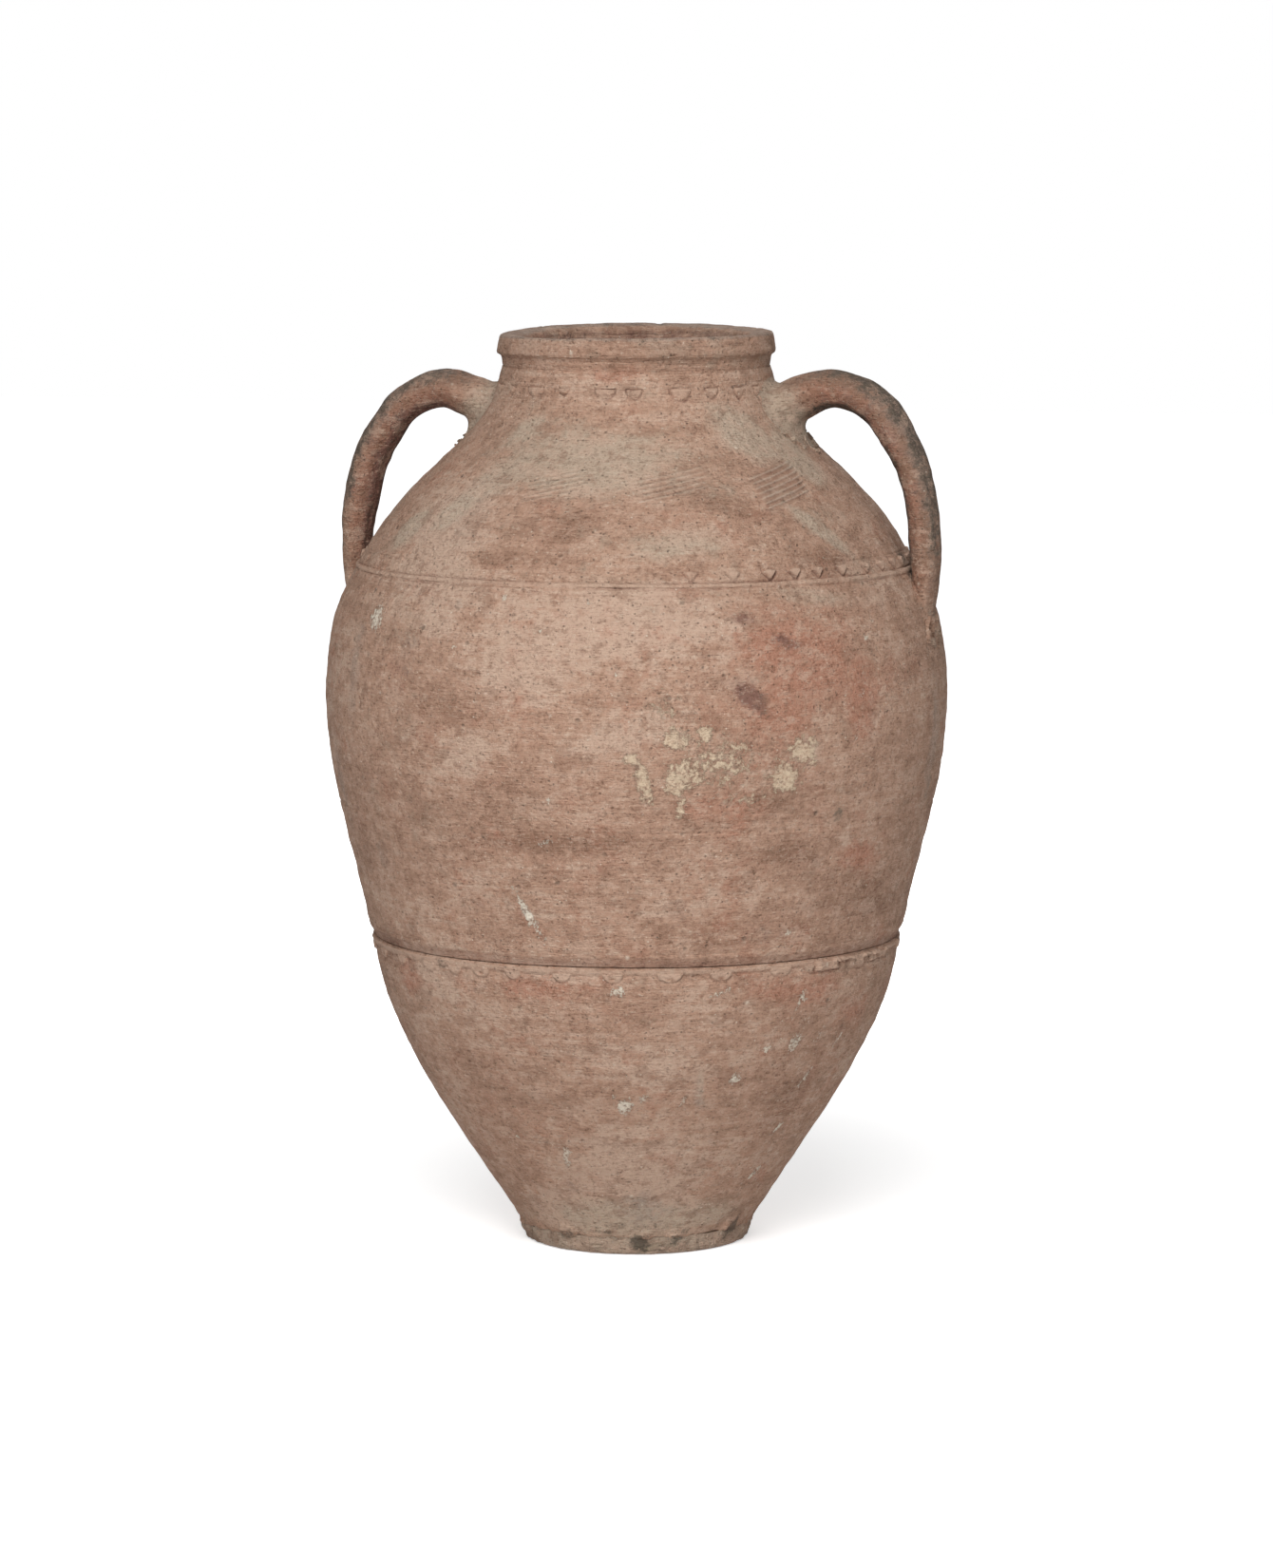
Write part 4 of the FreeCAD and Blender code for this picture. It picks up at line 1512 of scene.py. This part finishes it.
def outside_radius(heights):
    """The wall's outside radius at each height, in millimetres."""
    samples = np.linspace(FOOT_TOP, LIP_FOOT, 120)
    radii = [(BASE if height < LOWER_SEAM else BODY)(height) / MM for height in samples]
    return np.interp(heights, samples / MM, radii)


# ---------------------------------------------------------------- floor, light and camera


FLOOR_SIZE = 24
# Soft lights, each named after the property that holds its power: degrees round from the camera, distance,
# height and size.
LIGHTS = {
    "key_light": (-7, 3.4, 2.9, 2.6), "back_light": (180, 3.4, 2.9, 2.0), "fill_light": (55, 3.2, 1.4, 2.0),
}


class AMPHORA_OT_stage(bpy.types.Operator):
    """Lay a plain pale floor, hang soft studio lights and set up the camera"""

    bl_idname = "amphora.stage"
    bl_label = "Stage"

    def execute(self, context):
        scene, stage = context.scene, context.scene.jar_stage
        bpy.ops.object.select_all(action="DESELECT")
        bpy.ops.mesh.primitive_plane_add(size=1, location=(0, 0, 0))
        floor = context.object
        floor.name = "pale_floor"
        floor.scale = (FLOOR_SIZE, FLOOR_SIZE, 1)
        settle(floor)
        paper = Finish("pale paper")
        paper.surface.inputs["Base Color"].default_value = rgba(stage.floor_colour)
        paper.surface.inputs["Roughness"].default_value = 0.9
        # The floor keeps its soft shadows near the jar and fades to white further out.
        away = paper.add("ShaderNodeVectorMath", {0: paper.place}, output="Value", operation="LENGTH")
        seen = paper.add("ShaderNodeLightPath", {}, output="Is Camera Ray")
        glow = (paper.ramp(away, 0.25, 1.3) * (1 - stage.floor_glow) + stage.floor_glow) * seen
        paper.feed(paper.surface.inputs["Emission Color"], paper.mix((0, 0, 0), (1, 1, 1), glow))
        paper.surface.inputs["Emission Strength"].default_value = 1.0
        floor.data.materials.append(paper.material)

        scene.world = bpy.data.worlds.new("even daylight")
        scene.world.use_nodes = True
        tree = scene.world.node_tree
        sky = tree.nodes["Background"]
        sky.inputs["Color"].default_value = (1, 1, 1, 1)
        # The backdrop shows white, while the even light that it gives is softer.
        seen = tree.nodes.new("ShaderNodeLightPath").outputs["Is Camera Ray"]
        strength = tree.nodes.new("ShaderNodeMapRange")
        strength.inputs["To Min"].default_value = stage.daylight
        strength.inputs["To Max"].default_value = 1.0
        tree.links.new(seen, strength.inputs["Value"])
        tree.links.new(strength.outputs["Result"], sky.inputs["Strength"])

        turn = stage.camera_turn
        for name, (away, distance, height, size) in LIGHTS.items():
            power = getattr(stage, name)
            soft_light(name.replace("_", " "), turn + math.radians(away), distance, height, size, power)

        bpy.ops.object.camera_add(location=(0, 0, 0))
        camera = context.object
        camera.name = "studio camera"
        camera.data.lens = stage.lens
        distance = stage.camera_distance
        camera.location = (math.sin(turn) * distance, -math.cos(turn) * distance, stage.camera_height)
        aim = Vector((0, 0, stage.aim_height)) - camera.location
        camera.rotation_euler = aim.to_track_quat("-Z", "Y").to_euler()
        scene.camera = camera
        scene.view_settings.view_transform = "Standard"
        scene.view_settings.look = "None"
        return {"FINISHED"}


def soft_light(name, turn, distance, height, size, power):
    """A large soft light that faces the jar from a turn round it."""
    bpy.ops.object.select_all(action="DESELECT")
    bpy.ops.object.light_add(type="AREA", location=(0, 0, 0))
    lamp = bpy.context.object
    lamp.name = name
    lamp.location = (math.sin(turn) * distance, -math.cos(turn) * distance, height)
    lamp.rotation_euler = (Vector((0, 0, HEIGHT / 2)) - lamp.location).to_track_quat("-Z", "Y").to_euler()
    lamp.data.size = size
    lamp.data.energy = power


# ---------------------------------------------------------------- panel and main


class AMPHORA_PT_jar(bpy.types.Panel):
    bl_label = "Weathered jar"
    bl_space_type = "VIEW_3D"
    bl_region_type = "UI"
    bl_category = "Jar"

    def draw(self, context):
        layout = self.layout
        for group in (context.scene.jar_shape, context.scene.jar_colours, context.scene.jar_stage):
            box = layout.box()
            for prop in group.bl_rna.properties:
                if prop.identifier not in ("rna_type", "name"):
                    box.prop(group, prop.identifier)
        for operator in OPERATORS:
            layout.operator(operator.bl_idname)


OPERATORS = [
    AMPHORA_OT_foot, AMPHORA_OT_courses, AMPHORA_OT_lip, AMPHORA_OT_bands, AMPHORA_OT_handles,
    AMPHORA_OT_pads, AMPHORA_OT_stage,
]
GROUPS = {"jar_shape": JarShape, "jar_colours": JarColours, "jar_stage": JarStage}


def register():
    for name, group in GROUPS.items():
        bpy.utils.register_class(group)
        setattr(bpy.types.Scene, name, PointerProperty(type=group))
    for item in (*OPERATORS, AMPHORA_PT_jar):
        bpy.utils.register_class(item)


def unregister():
    for item in (AMPHORA_PT_jar, *reversed(OPERATORS)):
        bpy.utils.unregister_class(item)
    for name, group in GROUPS.items():
        delattr(bpy.types.Scene, name)
        bpy.utils.unregister_class(group)


def main():
    register()
    bpy.ops.amphora.foot()
    bpy.ops.amphora.courses()
    bpy.ops.amphora.lip()
    bpy.ops.amphora.bands()
    bpy.ops.amphora.handles()
    bpy.ops.amphora.pads()
    bpy.ops.amphora.stage()


if __name__ == "__main__":
    main()
